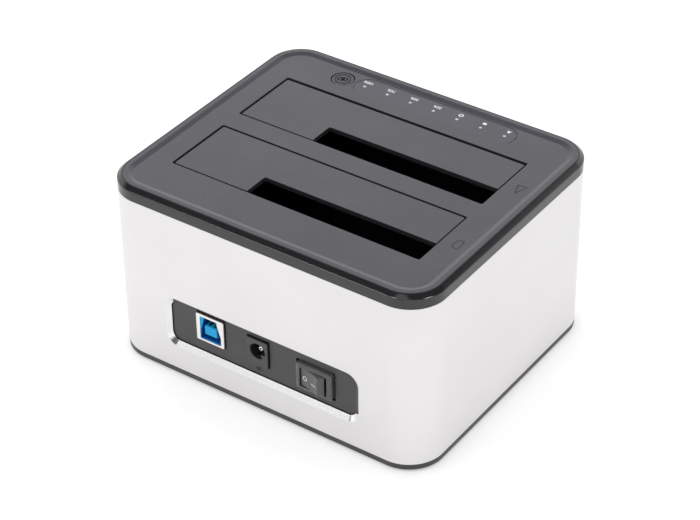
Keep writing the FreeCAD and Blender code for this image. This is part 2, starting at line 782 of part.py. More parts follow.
def connector_panel():
    plate = slab(window_left - panel_overlap, window_right + panel_overlap, panel_face, panel_back, 0.3,
                 sleeve_low, window_high + panel_overlap)
    root = panel_back - 0.1
    gusset = [(root, sleeve_low), (panel_back + 6.0, sleeve_low), (root, sleeve_low + 9.0)]
    feet = [profile_x(gusset, x, x + 1.6) for x in (window_left, jack_middle - 8.0, window_right - 1.6)]
    plate = fuse_all([plate] + feet)

    def cutout(middle, half, low, high):
        return box(middle - half, middle + half, panel_face - 1, panel_back + 1, low, high)

    usb_low = board_top + usb_standoff
    bezel_half = bezel_height / 2 + bezel_gap
    return plate.cut([cutout(usb_middle, usb_width / 2 + cutout_gap, usb_low - cutout_gap,
                             usb_low + usb_height + cutout_gap),
                      cutout(jack_middle, jack_width / 2 + cutout_gap, board_top - cutout_gap,
                             board_top + jack_height + cutout_gap),
                      cutout(switch_middle, bezel_width / 2 + bezel_gap, switch_height - bezel_half,
                             switch_height + bezel_half)])


def usb_opening(outline, y0, y1):
    """Prism of the given outline: X from the receptacle's middle, Z from the underside of its shell."""
    low = board_top + usb_standoff
    face = polygon([Vector(usb_middle + x, y0, low + z) for x, z in outline])
    return face.extrude(Vector(0, y1 - y0, 0))


# sheet opening, and the insulator's cavity behind it with both upper corners narrowed
usb_sheet_opening = [(-4.45, 0.8), (4.7, 0.8), (4.7, 4.3), (3.1, 9.3), (3.1, 10.5), (-4.45, 10.5)]
usb_cavity = [(-4.3, 1.0), (4.5, 1.0), (4.5, 4.3), (2.95, 9.2), (2.95, 10.3), (-2.95, 10.3), (-2.95, 9.2),
              (-4.3, 4.3)]


def usb_shell():
    low = board_top + usb_standoff
    front = panel_face - usb_proud
    half = usb_width / 2
    can = upright(usb_middle - half, usb_middle + half, low, low + usb_height, 0.6, front, front + usb_depth)
    hollow = upright(usb_middle - half + usb_sheet, usb_middle + half - usb_sheet, low + usb_sheet,
                     low + usb_height - usb_sheet, 0.3, front + usb_sheet, front + usb_depth + 1)
    can = can.cut([hollow, usb_opening(usb_sheet_opening, front - 1, front + 1)])
    leg_front = front + usb_depth - 6.2
    legs = [box(edge, edge + usb_sheet, leg_front, leg_front + 2.4, board_top, low + 1.5)
            for edge in (usb_middle - half, usb_middle + half - usb_sheet)]
    return fuse_all([can] + legs)


def usb_tongue():
    """Z limits and front of the contact tongue."""
    low = board_top + usb_standoff
    return low + usb_tongue_low, low + usb_tongue_high, panel_face - usb_proud + usb_tongue_set_back


def usb_insulator():
    low = board_top + usb_standoff + usb_sheet
    front = panel_face - usb_proud + usb_sheet
    half = usb_width / 2 - usb_sheet
    block = upright(usb_middle - half, usb_middle + half, low, low + usb_height - 2 * usb_sheet, 0.3,
                    front, front + usb_depth - usb_sheet - 0.5)
    bottom, top, nose = usb_tongue()
    tongue = box(usb_middle - usb_tongue_half, usb_middle + usb_tongue_half, nose,
                 front + usb_mouth_depth + 1, bottom, top)
    tip = [e for e in tongue.Edges if abs(e.BoundBox.YMax - nose) < 1e-4 and e.BoundBox.XLength > 1]
    pads = [box(usb_middle + x - 1.2, usb_middle + x + 1.2, front + 3.0, front + 6.0, board_top, low + 0.1)
            for x in (-3.6, 3.6)]
    block = block.cut(usb_opening(usb_cavity, front - 1, front + usb_mouth_depth))
    block = block.fuse(tongue.makeChamfer(0.3, tip))
    return block.removeSplitter(), pads


def usb_contacts():
    bottom, top, nose = usb_tongue()
    end = panel_face - usb_proud + usb_sheet + usb_mouth_depth
    roof = board_top + usb_standoff + 10.3
    strips = []
    for x in (usb_middle - usb_tongue_half + 1.0, usb_middle + usb_tongue_half - 1.9):
        strips.append(box(x, x + 0.9, nose + 0.9, end, bottom - 0.2, bottom))
        strips.append(box(x, x + 0.9, nose + 0.9, end, top, top + 0.2))
    for index in range(5):
        x = usb_middle - 2.6 + 1.2 * index
        strips.append(box(x, x + 0.4, nose + 1.6, end, roof - 0.2, roof))
    return strips


def dc_jack_body():
    front = panel_face - jack_proud
    half = jack_width / 2
    body = upright(jack_middle - half, jack_middle + half, board_top, board_top + jack_height, 0.4,
                   front, front + jack_depth)
    centre = board_top + jack_hole_height
    bore = rod_y(jack_middle, front - 1, front + jack_hole_depth, centre, jack_hole_radius)
    mouth = Part.makeCone(jack_hole_radius + 0.3, jack_hole_radius, 0.3, Vector(jack_middle, front, centre),
                          Vector(0, 1, 0))
    leaf_x = jack_middle + jack_leaf_middle
    leaf_half = jack_leaf_width / 2 + 0.2
    slot = box(leaf_x - leaf_half, leaf_x + leaf_half, front + jack_leaf_front - 0.2,
               front + jack_hole_depth, centre - 3.6, centre - 2.2)
    seat = rod_y(jack_middle, front + jack_hole_depth - 0.5, front + jack_depth - 1.5, centre, jack_pin_radius)
    return body.cut([bore, mouth, slot, seat])


def dc_jack_pin():
    front = panel_face - jack_proud
    centre = board_top + jack_hole_height
    tip_y = front + jack_pin_set_back
    pin = rod_y(jack_middle, tip_y, front + jack_depth - 1.5, centre, jack_pin_radius)
    pin = pin.makeChamfer(0.25, [e for e in pin.Edges if abs(e.BoundBox.YMax - tip_y) < 1e-4])
    return pin.cut(rod_y(jack_middle, front, tip_y + 3.0, centre, jack_pin_radius * 0.45))


def dc_jack_spring():
    """Bent leaf in the floor of the bore that presses on the plug's barrel."""
    front = panel_face - jack_proud
    centre = board_top + jack_hole_height
    leaf_x = jack_middle + jack_leaf_middle
    tip = front + jack_leaf_front
    crest = front + 5.6
    end = front + jack_hole_depth
    outline = [(tip, centre - 2.75), (crest, centre - 1.85), (end, centre - 3.1),
               (end, centre - 3.4), (crest, centre - 2.15), (tip, centre - 3.0)]
    return profile_x(outline, leaf_x - jack_leaf_width / 2, leaf_x + jack_leaf_width / 2)


def switch_half():
    """Half width of the switch body behind the bezel: the rocker's swing plus its wall."""
    return rocker_swing() + 0.25 + switch_wall


def switch_half_height():
    return opening_height / 2 + 0.8


def rocker_swing():
    """Furthest sideways reach of the rocker's end wall when that end is pressed in."""
    angle = math.radians(90.0 - rocker_tilt) - rocker_wall_angle()
    return rocker_radius * math.cos(max(angle, 0.0))


def rocker_wall_angle():
    """Angle, from straight out, at which the rocker's round end wall stops."""
    face_angle = math.atan2(rocker_half_face, rocker_reach)
    return face_angle + math.radians(22.0)


def switch_body():
    """Bezel with a bevelled front, the housing behind it, and a lug each side that lies on the board."""
    half = switch_half()
    half_z = switch_half_height()
    left = switch_middle - bezel_width / 2
    right = switch_middle + bezel_width / 2
    low = switch_height - bezel_height / 2
    high = switch_height + bezel_height / 2
    bevel_back = bezel_face + bezel_bevel_depth
    block = upright(left, right, low, high, 0.8, bevel_back, panel_back)
    near = rounded_face(left, right, low, high, 0.8, lambda x, z: Vector(x, bevel_back, z))
    far = rounded_face(left + bezel_bevel, right - bezel_bevel, low + bezel_bevel * 0.7,
                       high - bezel_bevel * 0.7, 0.6, lambda x, z: Vector(x, bezel_face, z))
    bevel = Part.makeLoft([near.OuterWire, far.OuterWire], True, True)
    body = box(switch_middle - half, switch_middle + half, panel_back - 0.1, switch_back,
               switch_height - half_z, switch_height + half_z)
    lugs = box(switch_middle - lug_reach, switch_middle + lug_reach, switch_back - 8.0, switch_back - 4.0,
               board_top, board_top + 1.6)
    whole = fuse_all([block, bevel, body, lugs])
    open_low = switch_height - opening_height / 2
    open_high = switch_height + opening_height / 2
    mouth = box(switch_middle - opening_width / 2, switch_middle + opening_width / 2, bezel_face - 1,
                rocker_pivot_y, open_low, open_high)
    swing = rod(switch_middle, rocker_pivot_y, open_low, open_high, rocker_radius + 0.25)
    reach = half - switch_wall
    limit = box(switch_middle - reach, switch_middle + reach, bezel_face + 0.5, rocker_pivot_y + 3.4,
                open_low, open_high)
    axle = rod(switch_middle, rocker_pivot_y, switch_height - half_z - 1, switch_height + half_z + 1,
               trunnion_radius + pin_clearance)
    return whole.cut([mouth, swing.common(limit), axle])


def rocker():
    """Paddle with a shallow dished face, round end walls and a trunnion at each end of its upright axis."""
    y = rocker_pivot_y
    wall = rocker_wall_angle()
    start = math.atan2(rocker_half_face, rocker_reach)
    middle = (start + wall) / 2

    def at(angle, side):
        out = rocker_radius * math.sin(angle)
        return Vector(switch_middle + side * out, y - rocker_radius * math.cos(angle), 0)

    dish = 0.35
    face_middle = Vector(switch_middle, y - rocker_reach + dish, 0)
    heel = 2.2
    edges = [Part.Arc(at(start, -1), face_middle, at(start, 1)).toShape(),
             Part.Arc(at(start, 1), at(middle, 1), at(wall, 1)).toShape(),
             Part.LineSegment(at(wall, 1), Vector(switch_middle + heel, y + 0.6, 0)).toShape(),
             Part.Arc(Vector(switch_middle + heel, y + 0.6, 0), Vector(switch_middle, y + 1.9, 0),
                      Vector(switch_middle - heel, y + 0.6, 0)).toShape(),
             Part.LineSegment(Vector(switch_middle - heel, y + 0.6, 0), at(wall, -1)).toShape(),
             Part.Arc(at(wall, -1), at(middle, -1), at(start, -1)).toShape()]
    half = opening_height / 2 - rocker_side_gap
    paddle = Part.Face(Part.Wire(edges)).extrude(Vector(0, 0, 2 * half))
    paddle.translate(Vector(0, 0, switch_height - half))
    trunnions = rod(switch_middle, y, switch_height - switch_half_height() + 0.1,
                    switch_height + switch_half_height() - 0.1, trunnion_radius)
    whole = paddle.fuse(trunnions).removeSplitter()
    whole.rotate(Vector(switch_middle, y, 0), Vector(0, 0, 1), -rocker_tilt)
    return whole


def switch_terminals():
    blades = []
    for x in terminal_places():
        top = switch_height + 0.4
        flat = box(x - 1.0, x + 1.0, switch_back - 3.0, terminal_y + 0.4, top - 0.8, top)
        down = box(x - 1.0, x + 1.0, terminal_y - 0.4, terminal_y + 0.4, board_low - 0.8, top)
        blades.append(flat.fuse(down).removeSplitter())
    return blades


terminals = switch_terminals()
insulator, insulator_pads = usb_insulator()

save("housing_sleeve", housing_sleeve())
save("base_plate", base_plate())
save("rubber_feet", rubber_feet())
save("case_screws", case_screws())
save("lid_rim", lid_rim())
save("top_plate", top_plate())
save("indicator_inlay", indicator_inlay())
save("light_pipes", light_pipes())
save("indicator_board", indicator_board())
save("indicator_leds", indicator_leds())
save("indicator_screws", indicator_screws())
save("tact_switch", tact_switch())
save("tact_plunger", tact_plunger())
save("clone_button", clone_button())
for bay, bay_front in (("front", front_bay), ("rear", rear_bay)):
    save(bay + "_flap", flap(bay_front))
    save(bay + "_hinge_pin", hinge_pin(bay_front))
    save(bay + "_flap_spring", door_spring(bay_front))
    save(bay + "_bay_well", bay_well(bay_front, bay == "rear"))
    save(bay + "_drive_socket", sata_socket(bay_front))
    save(bay + "_drive_contacts", sata_contacts(bay_front))
save("bay_screws", bay_screws())
save("main_board", main_board())
save("board_screws", board_screws())
save("bridge_chip", bridge_chip())
save("crystal", crystal())
save("capacitors", capacitors())
save("inductors", inductors())
save("ribbon_headers", ribbon_headers())
save("ribbon_cable", ribbon_cable())
save("connector_panel", connector_panel())
save("usb_shell", usb_shell().cut(insulator_pads))
save("usb_insulator", insulator.fuse(insulator_pads).removeSplitter())
save("usb_contacts", usb_contacts())
save("dc_jack_body", dc_jack_body())
save("dc_jack_pin", dc_jack_pin())
save("dc_jack_spring", dc_jack_spring())
save("switch_body", switch_body().cut([blade.common(switch_body()) for blade in terminals]))
save("switch_terminals", terminals)
save("rocker", rocker())
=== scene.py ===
import bmesh
import bpy
import json
import math
from mathutils import Euler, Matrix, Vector


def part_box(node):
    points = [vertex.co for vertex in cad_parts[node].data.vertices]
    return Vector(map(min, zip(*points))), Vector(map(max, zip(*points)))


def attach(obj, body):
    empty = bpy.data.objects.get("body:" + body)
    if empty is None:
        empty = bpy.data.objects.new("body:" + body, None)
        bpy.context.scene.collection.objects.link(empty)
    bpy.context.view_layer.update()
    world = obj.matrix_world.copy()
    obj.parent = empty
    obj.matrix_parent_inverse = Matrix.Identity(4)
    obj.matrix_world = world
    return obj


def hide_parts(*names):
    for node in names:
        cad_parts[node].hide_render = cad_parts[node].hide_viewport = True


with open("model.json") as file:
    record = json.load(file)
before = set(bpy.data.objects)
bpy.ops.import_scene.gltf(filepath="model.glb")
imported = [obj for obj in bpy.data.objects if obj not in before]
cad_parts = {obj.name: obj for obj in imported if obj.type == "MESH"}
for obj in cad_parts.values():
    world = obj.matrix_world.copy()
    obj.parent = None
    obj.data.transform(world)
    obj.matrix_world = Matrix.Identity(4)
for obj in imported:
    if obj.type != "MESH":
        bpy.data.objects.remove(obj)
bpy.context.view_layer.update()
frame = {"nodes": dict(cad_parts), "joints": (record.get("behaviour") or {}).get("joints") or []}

cadNodes = frame["nodes"]


def mm(value):
    return value * 0.001


def linearColour(hexText):
    # sRGB hex to linear red, green, blue and alpha
    def channel(pair):
        value = int(pair, 16) / 255
        return value / 12.92 if value <= 0.04045 else ((value + 0.055) / 1.055) ** 2.4
    text = hexText.lstrip("#")
    return tuple(channel(text[i:i + 2]) for i in (0, 2, 4)) + (1.0,)


def addNode(tree, kind, settings=None, inputs=None):
    node = tree.nodes.new(kind)
    for name, value in (settings or {}).items():
        setattr(node, name, value)
    for name, value in (inputs or {}).items():
        if isinstance(value, bpy.types.NodeSocket):
            tree.links.new(value, node.inputs[name])
        else:
            node.inputs[name].default_value = value
    return node


def startMaterial(name, constants):
    material = bpy.data.materials.new(name)
    material.use_nodes = True
    tree = material.node_tree
    tree.nodes.clear()
    shader = addNode(tree, "ShaderNodeBsdfPrincipled", inputs=constants)
    addNode(tree, "ShaderNodeOutputMaterial", inputs={"Surface": shader.outputs["BSDF"]})
    place = addNode(tree, "ShaderNodeTexCoord").outputs["Object"]
    return material, tree, shader, place


def perMetre(sizeMm):
    # noise scale that gives features of this size
    return 1000.0 / sizeMm


def surfaceDetail(tree, shader, fine, drift, look):
    # two close tones from fine and slow noise, a roughness that wanders a little, and a shallow bump
    blend = addNode(tree, "ShaderNodeMath", {"operation": "MULTIPLY_ADD"}, {0: fine, 1: look["fleck"], 2: drift})
    tones = addNode(tree, "ShaderNodeValToRGB", inputs={"Fac": blend.outputs[0]})
    for element, position, tone in zip(tones.color_ramp.elements, look["toneEnds"], ("dark", "light")):
        element.position = position
        element.color = linearColour(look[tone])
    rough = addNode(tree, "ShaderNodeMapRange", inputs={
        "Value": fine, "From Min": 0.3, "From Max": 0.7,
        "To Min": look["roughness"] - look["roughSpread"], "To Max": look["roughness"] + look["roughSpread"]})
    bump = addNode(tree, "ShaderNodeBump", inputs={
        "Height": fine, "Strength": look["bump"], "Distance": mm(look["bumpMm"])})
    tree.links.new(tones.outputs["Color"], shader.inputs["Base Color"])
    tree.links.new(rough.outputs["Result"], shader.inputs["Roughness"])
    tree.links.new(bump.outputs["Normal"], shader.inputs["Normal"])


plasticLook = {"ior": 1.5, "driftMm": 14.0, "fleck": 0.35, "roughSpread": 0.05, "bumpMm": 0.03,
               "toneEnds": (0.40, 0.95)}
metalLook = {"driftMm": 30.0, "fleck": 0.3, "roughSpread": 0.04, "bumpMm": 0.01, "toneEnds": (0.35, 0.9),
             "stretch": (1, 1, 1)}


def moulded(name, look):
    # injection-moulded plastic with a spark-eroded grain
    look = {**plasticLook, **look}
    material, tree, shader, place = startMaterial(name, {"Metallic": 0.0, "IOR": look["ior"]})
    drift = addNode(tree, "ShaderNodeTexNoise", inputs={
        "Vector": place, "Scale": perMetre(look["driftMm"]), "Detail": 3.0, "Roughness": 0.55})
    grain = addNode(tree, "ShaderNodeTexNoise", inputs={
        "Vector": place, "Scale": perMetre(look["grainMm"]), "Detail": 2.0, "Roughness": 0.6})
    surfaceDetail(tree, shader, grain.outputs["Fac"], drift.outputs["Fac"], look)
    return material


def metal(name, look):
    # machined or plated metal with fine marks that stretch draws out along one direction
    look = {**metalLook, **look}
    material, tree, shader, place = startMaterial(name, {"Metallic": 1.0})
    stretch = addNode(tree, "ShaderNodeMapping", inputs={"Vector": place, "Scale": look["stretch"]})
    marks = addNode(tree, "ShaderNodeTexNoise", inputs={
        "Vector": stretch.outputs["Vector"], "Scale": perMetre(look["grainMm"]), "Detail": 3.0, "Roughness": 0.6})
    drift = addNode(tree, "ShaderNodeTexNoise", inputs={
        "Vector": place, "Scale": perMetre(look["driftMm"]), "Detail": 2.0})
    surfaceDetail(tree, shader, marks.outputs["Fac"], drift.outputs["Fac"], look)
    return material


# bead-blasted and anodised aluminium: a soft silky metal with a fine even sparkle and no grain direction
anodisedAluminium = metal("anodisedAluminium", {
    "dark": "#DEDCDD", "light": "#E4E2E3", "roughness": 0.32, "grainMm": 0.35, "bump": 0.08, "fleck": 0.25,
    "driftMm": 45.0})
# the window edge is cut after anodising, so it is bare bright metal with fine turning marks
diamondCutAluminium = metal("diamondCutAluminium", {
    "dark": "#E4E3E4", "light": "#EBEAEB", "roughness": 0.1, "grainMm": 0.25, "bump": 0.03, "fleck": 0.2})
# polished ABS: deep black with a mirror skin that ripples very slightly, as moulded gloss does
glossBlackAbs = moulded("glossBlackAbs", {
    "dark": "#1C1B1D", "light": "#222123", "roughness": 0.1, "roughSpread": 0.02, "grainMm": 2.5, "bump": 0.02,
    "bumpMm": 0.02, "fleck": 0.2, "ior": 1.6})
# textured ABS of the lid: violet grey, even and dry, with a spark-eroded grain drawn coarser than life
matteGreyAbs = moulded("matteGreyAbs", {
    "dark": "#434249", "light": "#4B4A52", "roughness": 0.3, "grainMm": 0.5, "bump": 0.07, "fleck": 0.3,
    "driftMm": 22.0})
# the printed film over the lamps is smoother than the lid round it
inlayFilm = moulded("inlayFilm", {
    "dark": "#46454D", "light": "#4C4B54", "roughness": 0.33, "grainMm": 0.7, "bump": 0.02})
# walls of the openings in lid and panel: the same ABS coloured near black as painted shade, standing in for the shade
# that outlines each gap
paintedShadeWallAbs = moulded("paintedShadeWallAbs", {
    "dark": "#1F1E21", "light": "#29282B", "roughness": 0.7, "grainMm": 0.5, "bump": 0.15, "ior": 1.35})
# base moulding and bands: black ABS with a satin skin
satinBlackAbs = moulded("satinBlackAbs", {
    "dark": "#3E3D3E", "light": "#474647", "roughness": 0.42, "grainMm": 0.5, "bump": 0.1})
# connector panel: grey moulding with a fine texture
panelAbs = moulded("panelAbs", {
    "dark": "#434142", "light": "#4C4A4B", "roughness": 0.42, "grainMm": 0.4, "bump": 0.14})
# inside of the drive bays: black unpolished moulding made darker still as painted shade, so the deep wells read near
# black
wellPaintedShadeAbs = moulded("wellPaintedShadeAbs", {
    "dark": "#050506", "light": "#09090A", "roughness": 0.8, "grainMm": 0.6, "bump": 0.2, "ior": 1.3})
# jack and switch housings: dark glass-filled nylon with a dry skin
jackNylon = moulded("jackNylon", {
    "dark": "#464546", "light": "#504F50", "roughness": 0.45, "grainMm": 0.35, "bump": 0.12})
switchNylon = moulded("switchNylon", {
    "dark": "#575657", "light": "#605F60", "roughness": 0.26, "grainMm": 0.45, "bump": 0.1})
# drive sockets: black nylon made darker still as painted shade deep in the bays
socketPaintedShadeNylon = moulded("socketPaintedShadeNylon", {
    "dark": "#070708", "light": "#0C0C0E", "roughness": 0.6, "grainMm": 0.4, "bump": 0.12, "ior": 1.35})
# insulator of the data inlet: bright blue nylon, coloured a deeper blue as painted shade where the mouth shades it
usbBlockShadedNylon = moulded("usbBlockShadedNylon", {
    "dark": "#0458A6", "light": "#0E70C2", "roughness": 0.36, "grainMm": 0.4, "bump": 0.08})
# the contact tongue is the same blue nylon, coloured paler as painted light where it stands out of the mouth's shade
usbTongueLitNylon = moulded("usbTongueLitNylon", {
    "dark": "#1CB2F2", "light": "#2CC2FF", "roughness": 0.34, "grainMm": 0.4, "bump": 0.06, "ior": 1.3})
# foot rubber: dry, soft and a little dusty
footRubber = moulded("footRubber", {
    "dark": "#1A1A1A", "light": "#242424", "roughness": 0.8, "grainMm": 0.5, "bump": 0.3})
# chip epoxy: flat black with a fine moulded tooth
chipEpoxy = moulded("chipEpoxy", {
    "dark": "#151516", "light": "#202022", "roughness": 0.6, "grainMm": 0.3, "bump": 0.2})
# lamp epoxy: milky and shiny
lampEpoxy = moulded("lampEpoxy", {
    "dark": "#E8E4C8", "light": "#F2EFD8", "roughness": 0.25, "grainMm": 0.4, "bump": 0.05})
# flat cable: cream polyester film
cableFilm = moulded("cableFilm", {
    "dark": "#D8D6CE", "light": "#E6E4DC", "roughness": 0.35, "grainMm": 0.6, "bump": 0.05})
# light guide: cast acrylic, near clear
clearAcrylic = moulded("clearAcrylic", {
    "dark": "#C9CED2", "light": "#DDE2E6", "roughness": 0.12, "grainMm": 0.8, "bump": 0.03, "ior": 1.49})
# printed signs: thick white screen ink
whiteInk = moulded("whiteInk", {
    "dark": "#F0F0F4", "light": "#FCFCFF", "roughness": 0.5, "grainMm": 0.2, "bump": 0.1})
# lamp windows: the white ink is thinner there and looks greyer
windowInk = moulded("windowInk", {
    "dark": "#B9B9C4", "light": "#CBCBD6", "roughness": 0.4, "grainMm": 0.2, "bump": 0.05})
# near-black flat lines: painted shade standing in for the shade inside shallow engraved grooves, which are not cut,
# and for the shadow in the panel's gap; also the dark polarity sign
darkSignAndShadeLine = moulded("darkSignAndShadeLine", {
    "dark": "#0E0D10", "light": "#161519", "roughness": 0.8, "grainMm": 0.2, "bump": 0.1, "ior": 1.2})
# black zinc screws: dark and oily
screwSteel = metal("screwSteel", {
    "dark": "#6E6E70", "light": "#8C8C8E", "roughness": 0.3, "grainMm": 0.4, "bump": 0.1})
# ground steel pin: fine rings round its length
pinSteel = metal("pinSteel", {
    "dark": "#A9A9AC", "light": "#C4C4C8", "roughness": 0.2, "grainMm": 0.3, "bump": 0.05, "stretch": (0.1, 1, 1)})
# drawn spring wire: smooth with a grey bloom
springSteel = metal("springSteel", {
    "dark": "#8E8E92", "light": "#ABABB0", "roughness": 0.25, "grainMm": 0.2, "bump": 0.05})
# gold flash: warm and bright
contactGold = metal("contactGold", {
    "dark": "#D9A441", "light": "#F0C566", "roughness": 0.2, "grainMm": 0.2, "bump": 0.05})
# tin plate of the data inlet's shell: bright with faint rolling marks
tinPlate = metal("tinPlate", {
    "dark": "#E2DFDC", "light": "#F3F0EC", "roughness": 0.24, "grainMm": 0.3, "bump": 0.06, "stretch": (1, 0.15, 1)})
# capacitor can: drawn aluminium with marks up its side
capacitorCan = metal("capacitorCan", {
    "dark": "#B5B5B8", "light": "#CFCFD2", "roughness": 0.25, "grainMm": 0.3, "bump": 0.05, "stretch": (1, 1, 0.1)})


def solderMask():
    # green lacquer over copper: glossy, with tracks standing faintly under it
    material, tree, shader, place = startMaterial("solderMask", {"Metallic": 0.0, "IOR": 1.5, "Coat Weight": 0.3})
    tracks = addNode(tree, "ShaderNodeTexVoronoi", {"feature": "DISTANCE_TO_EDGE"}, {
        "Vector": place, "Scale": perMetre(4.0), "Randomness": 0.6})
    line = addNode(tree, "ShaderNodeMath", {"operation": "LESS_THAN"}, {0: tracks.outputs["Distance"], 1: 0.06})
    mask = addNode(tree, "ShaderNodeMix", {"data_type": "RGBA"}, {"Factor": line.outputs[0]})
    mask.inputs["A"].default_value = linearColour("#0E3B22")
    mask.inputs["B"].default_value = linearColour("#1C6038")
    haze = addNode(tree, "ShaderNodeTexNoise", inputs={"Vector": place, "Scale": perMetre(1.2)})
    rough = addNode(tree, "ShaderNodeMapRange", inputs={"Value": haze.outputs["Fac"], "To Min": 0.22, "To Max": 0.36})
    bump = addNode(tree, "ShaderNodeBump", inputs={
        "Height": line.outputs[0], "Strength": 0.3, "Distance": mm(0.03)})
    tree.links.new(mask.outputs["Result"], shader.inputs["Base Color"])
    tree.links.new(rough.outputs["Result"], shader.inputs["Roughness"])
    tree.links.new(bump.outputs["Normal"], shader.inputs["Normal"])
    return material


circuitBoard = solderMask()

slotMaterials = {
    "anodised_aluminium": anodisedAluminium, "black_abs": satinBlackAbs, "foot_rubber": footRubber,
    "screw_steel": screwSteel, "gloss_black_abs": glossBlackAbs, "matte_grey_abs": matteGreyAbs,
    "inlay_film": inlayFilm, "clear_acrylic": clearAcrylic, "circuit_board": circuitBoard,
    "lamp_epoxy": lampEpoxy, "switch_nylon": switchNylon, "pin_steel": pinSteel, "spring_steel": springSteel,
    "well_abs": wellPaintedShadeAbs, "socket_nylon": socketPaintedShadeNylon, "contact_gold": contactGold, "chip_epoxy": chipEpoxy,
    "tin_plate": tinPlate, "capacitor_can": capacitorCan, "cable_film": cableFilm, "panel_abs": panelAbs,
    "usb_blue_nylon": usbBlockShadedNylon, "jack_nylon": jackNylon}

for node in cadNodes.values():
    for materialSlot in node.material_slots:
        materialSlot.material = slotMaterials[materialSlot.material.name.split(".")[0]]
print("materials on", len(cadNodes), "CAD nodes")


def roundedOutline(x0, x1, y0, y1, radius, steps=20):
    points = []
    for centreX, centreY, start in ((x1 - radius, y0 + radius, -90), (x1 - radius, y1 - radius, 0),
                                    (x0 + radius, y1 - radius, 90), (x0 + radius, y0 + radius, 180)):
        for step in range(steps + 1):
            angle = math.radians(start + 90 * step / steps)
            points.append((centreX + radius * math.cos(angle), centreY + radius * math.sin(angle)))
    return points


def stackRings(mesh, rings, closed=False):
    # joins rings of equal length; open stacks get a cap at both ends
    rows = [[mesh.verts.new(point) for point in ring] for ring in rings]
    pairs = list(zip(rows, rows[1:])) + ([(rows[-1], rows[0])] if closed else [])
    for low, high in pairs:
        for index in range(len(low)):
            after = (index + 1) % len(low)
            mesh.faces.new((low[index], low[after], high[after], high[index]))
    if not closed:
        mesh.faces.new(list(reversed(rows[0])))
        mesh.faces.new(rows[-1])


def newPiece(name, mesh):
    bmesh.ops.recalc_face_normals(mesh, faces=mesh.faces)
    data = bpy.data.meshes.new(name)
    mesh.to_mesh(data)
    mesh.free()
    piece = bpy.data.objects.new(name, data)
    bpy.context.scene.collection.objects.link(piece)
    return piece


def applyModifiers(piece):
    bpy.context.view_layer.update()
    shown = piece.evaluated_get(bpy.context.evaluated_depsgraph_get())
    piece.data = bpy.data.meshes.new_from_object(shown)
    piece.modifiers.clear()


def cutAway(piece, cutters):
    for cutter in cutters:
        step = piece.modifiers.new("cut", "BOOLEAN")
        step.operation = "DIFFERENCE"
        step.solver = "EXACT"
        step.object = cutter
        applyModifiers(piece)
        bpy.data.objects.remove(cutter)


meshValues = {"weld": 1e-6, "flatAngle": 0.3, "bevelSegments": 2, "bevelAngle": 35, "sharpAngle": 40,
              "mitreLimit": 0.35}


def tidyFaces(piece):
    mesh = bmesh.new()
    mesh.from_mesh(piece.data)
    bmesh.ops.remove_doubles(mesh, verts=mesh.verts, dist=meshValues["weld"])
    bmesh.ops.dissolve_limit(
        mesh, angle_limit=math.radians(meshValues["flatAngle"]), verts=mesh.verts, edges=mesh.edges)
    mesh.to_mesh(piece.data)
    mesh.free()


def roundEdges(piece, width):
    step = piece.modifiers.new("edges", "BEVEL")
    step.width = width
    step.segments = meshValues["bevelSegments"]
    step.limit_method = "ANGLE"
    step.angle_limit = math.radians(meshValues["bevelAngle"])
    step.harden_normals = False
    step.miter_outer = "MITER_ARC"
    applyModifiers(piece)


def smoothFaces(piece, angle):
    for face in piece.data.polygons:
        face.use_smooth = True
    piece.data.set_sharp_from_angle(angle=math.radians(angle))
    step = piece.modifiers.new("normals", "WEIGHTED_NORMAL")
    step.keep_sharp = True
    step.weight = 100
    applyModifiers(piece)


def finishPiece(piece, material, body, nodes):
    piece.data.materials.clear()
    piece.data.materials.append(material)
    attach(piece, body)
    if nodes:
        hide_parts(*nodes)
    return piece


def softCopy(node, name, width):
    # a CAD node's shape with its edges rounded
    piece = bpy.data.objects.new(name, cadNodes[node].data.copy())
    bpy.context.scene.collection.objects.link(piece)
    tidyFaces(piece)
    roundEdges(piece, width)
    smoothFaces(piece, meshValues["sharpAngle"])
    return piece


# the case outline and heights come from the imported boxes
caseLow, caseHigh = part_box("housing_sleeve")
rimLow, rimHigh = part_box("lid_rim")
plateLow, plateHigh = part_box("top_plate")
panelLow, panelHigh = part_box("connector_panel")
caseValues = {"cornerRadius": 14.0, "cornerSteps": 28}


def caseRing(inset, z):
    return [(x, y, mm(z)) for x, y in roundedOutline(
        caseLow[0] + mm(inset), caseHigh[0] - mm(inset), caseLow[1] + mm(inset), caseHigh[1] - mm(inset),
        mm(caseValues["cornerRadius"] - inset), caseValues["cornerSteps"])]


def caseLoop(name, profile):
    # closed profile of (inset, height) in millimetres carried round the case outline
    mesh = bmesh.new()
    stackRings(mesh, [caseRing(inset, z) for inset, z in profile], closed=True)
    return newPiece(name, mesh)


sleeveValues = {"wall": 1.5, "edge": 0.15, "windowRadius": 3.5, "windowLow": 14.7, "panelOverlap": 2.2,
                "slope": 1.75, "slopeRound": 0.25, "slopeOverrun": 1.4, "cutterProud": 0.4, "cutDepth": 4.0,
                "skinDepths": (-0.01, 0.06), "cornerSteps": 16, "sharpAngle": 12, "slopeFacing": (-0.95, -0.3),
                "slopeReach": 46}


def windowEdges():
    # left, right, bottom and top of the window in millimetres
    overlap = sleeveValues["panelOverlap"]
    return (panelLow[0] * 1000 + overlap, panelHigh[0] * 1000 - overlap,
            sleeveValues["windowLow"], panelHigh[2] * 1000 - overlap)


def windowOutline(grow, steps):
    left, right, bottom, top = windowEdges()
    return roundedOutline(left - grow, right + grow, bottom - grow, top + grow,
                          sleeveValues["windowRadius"] + grow, steps)


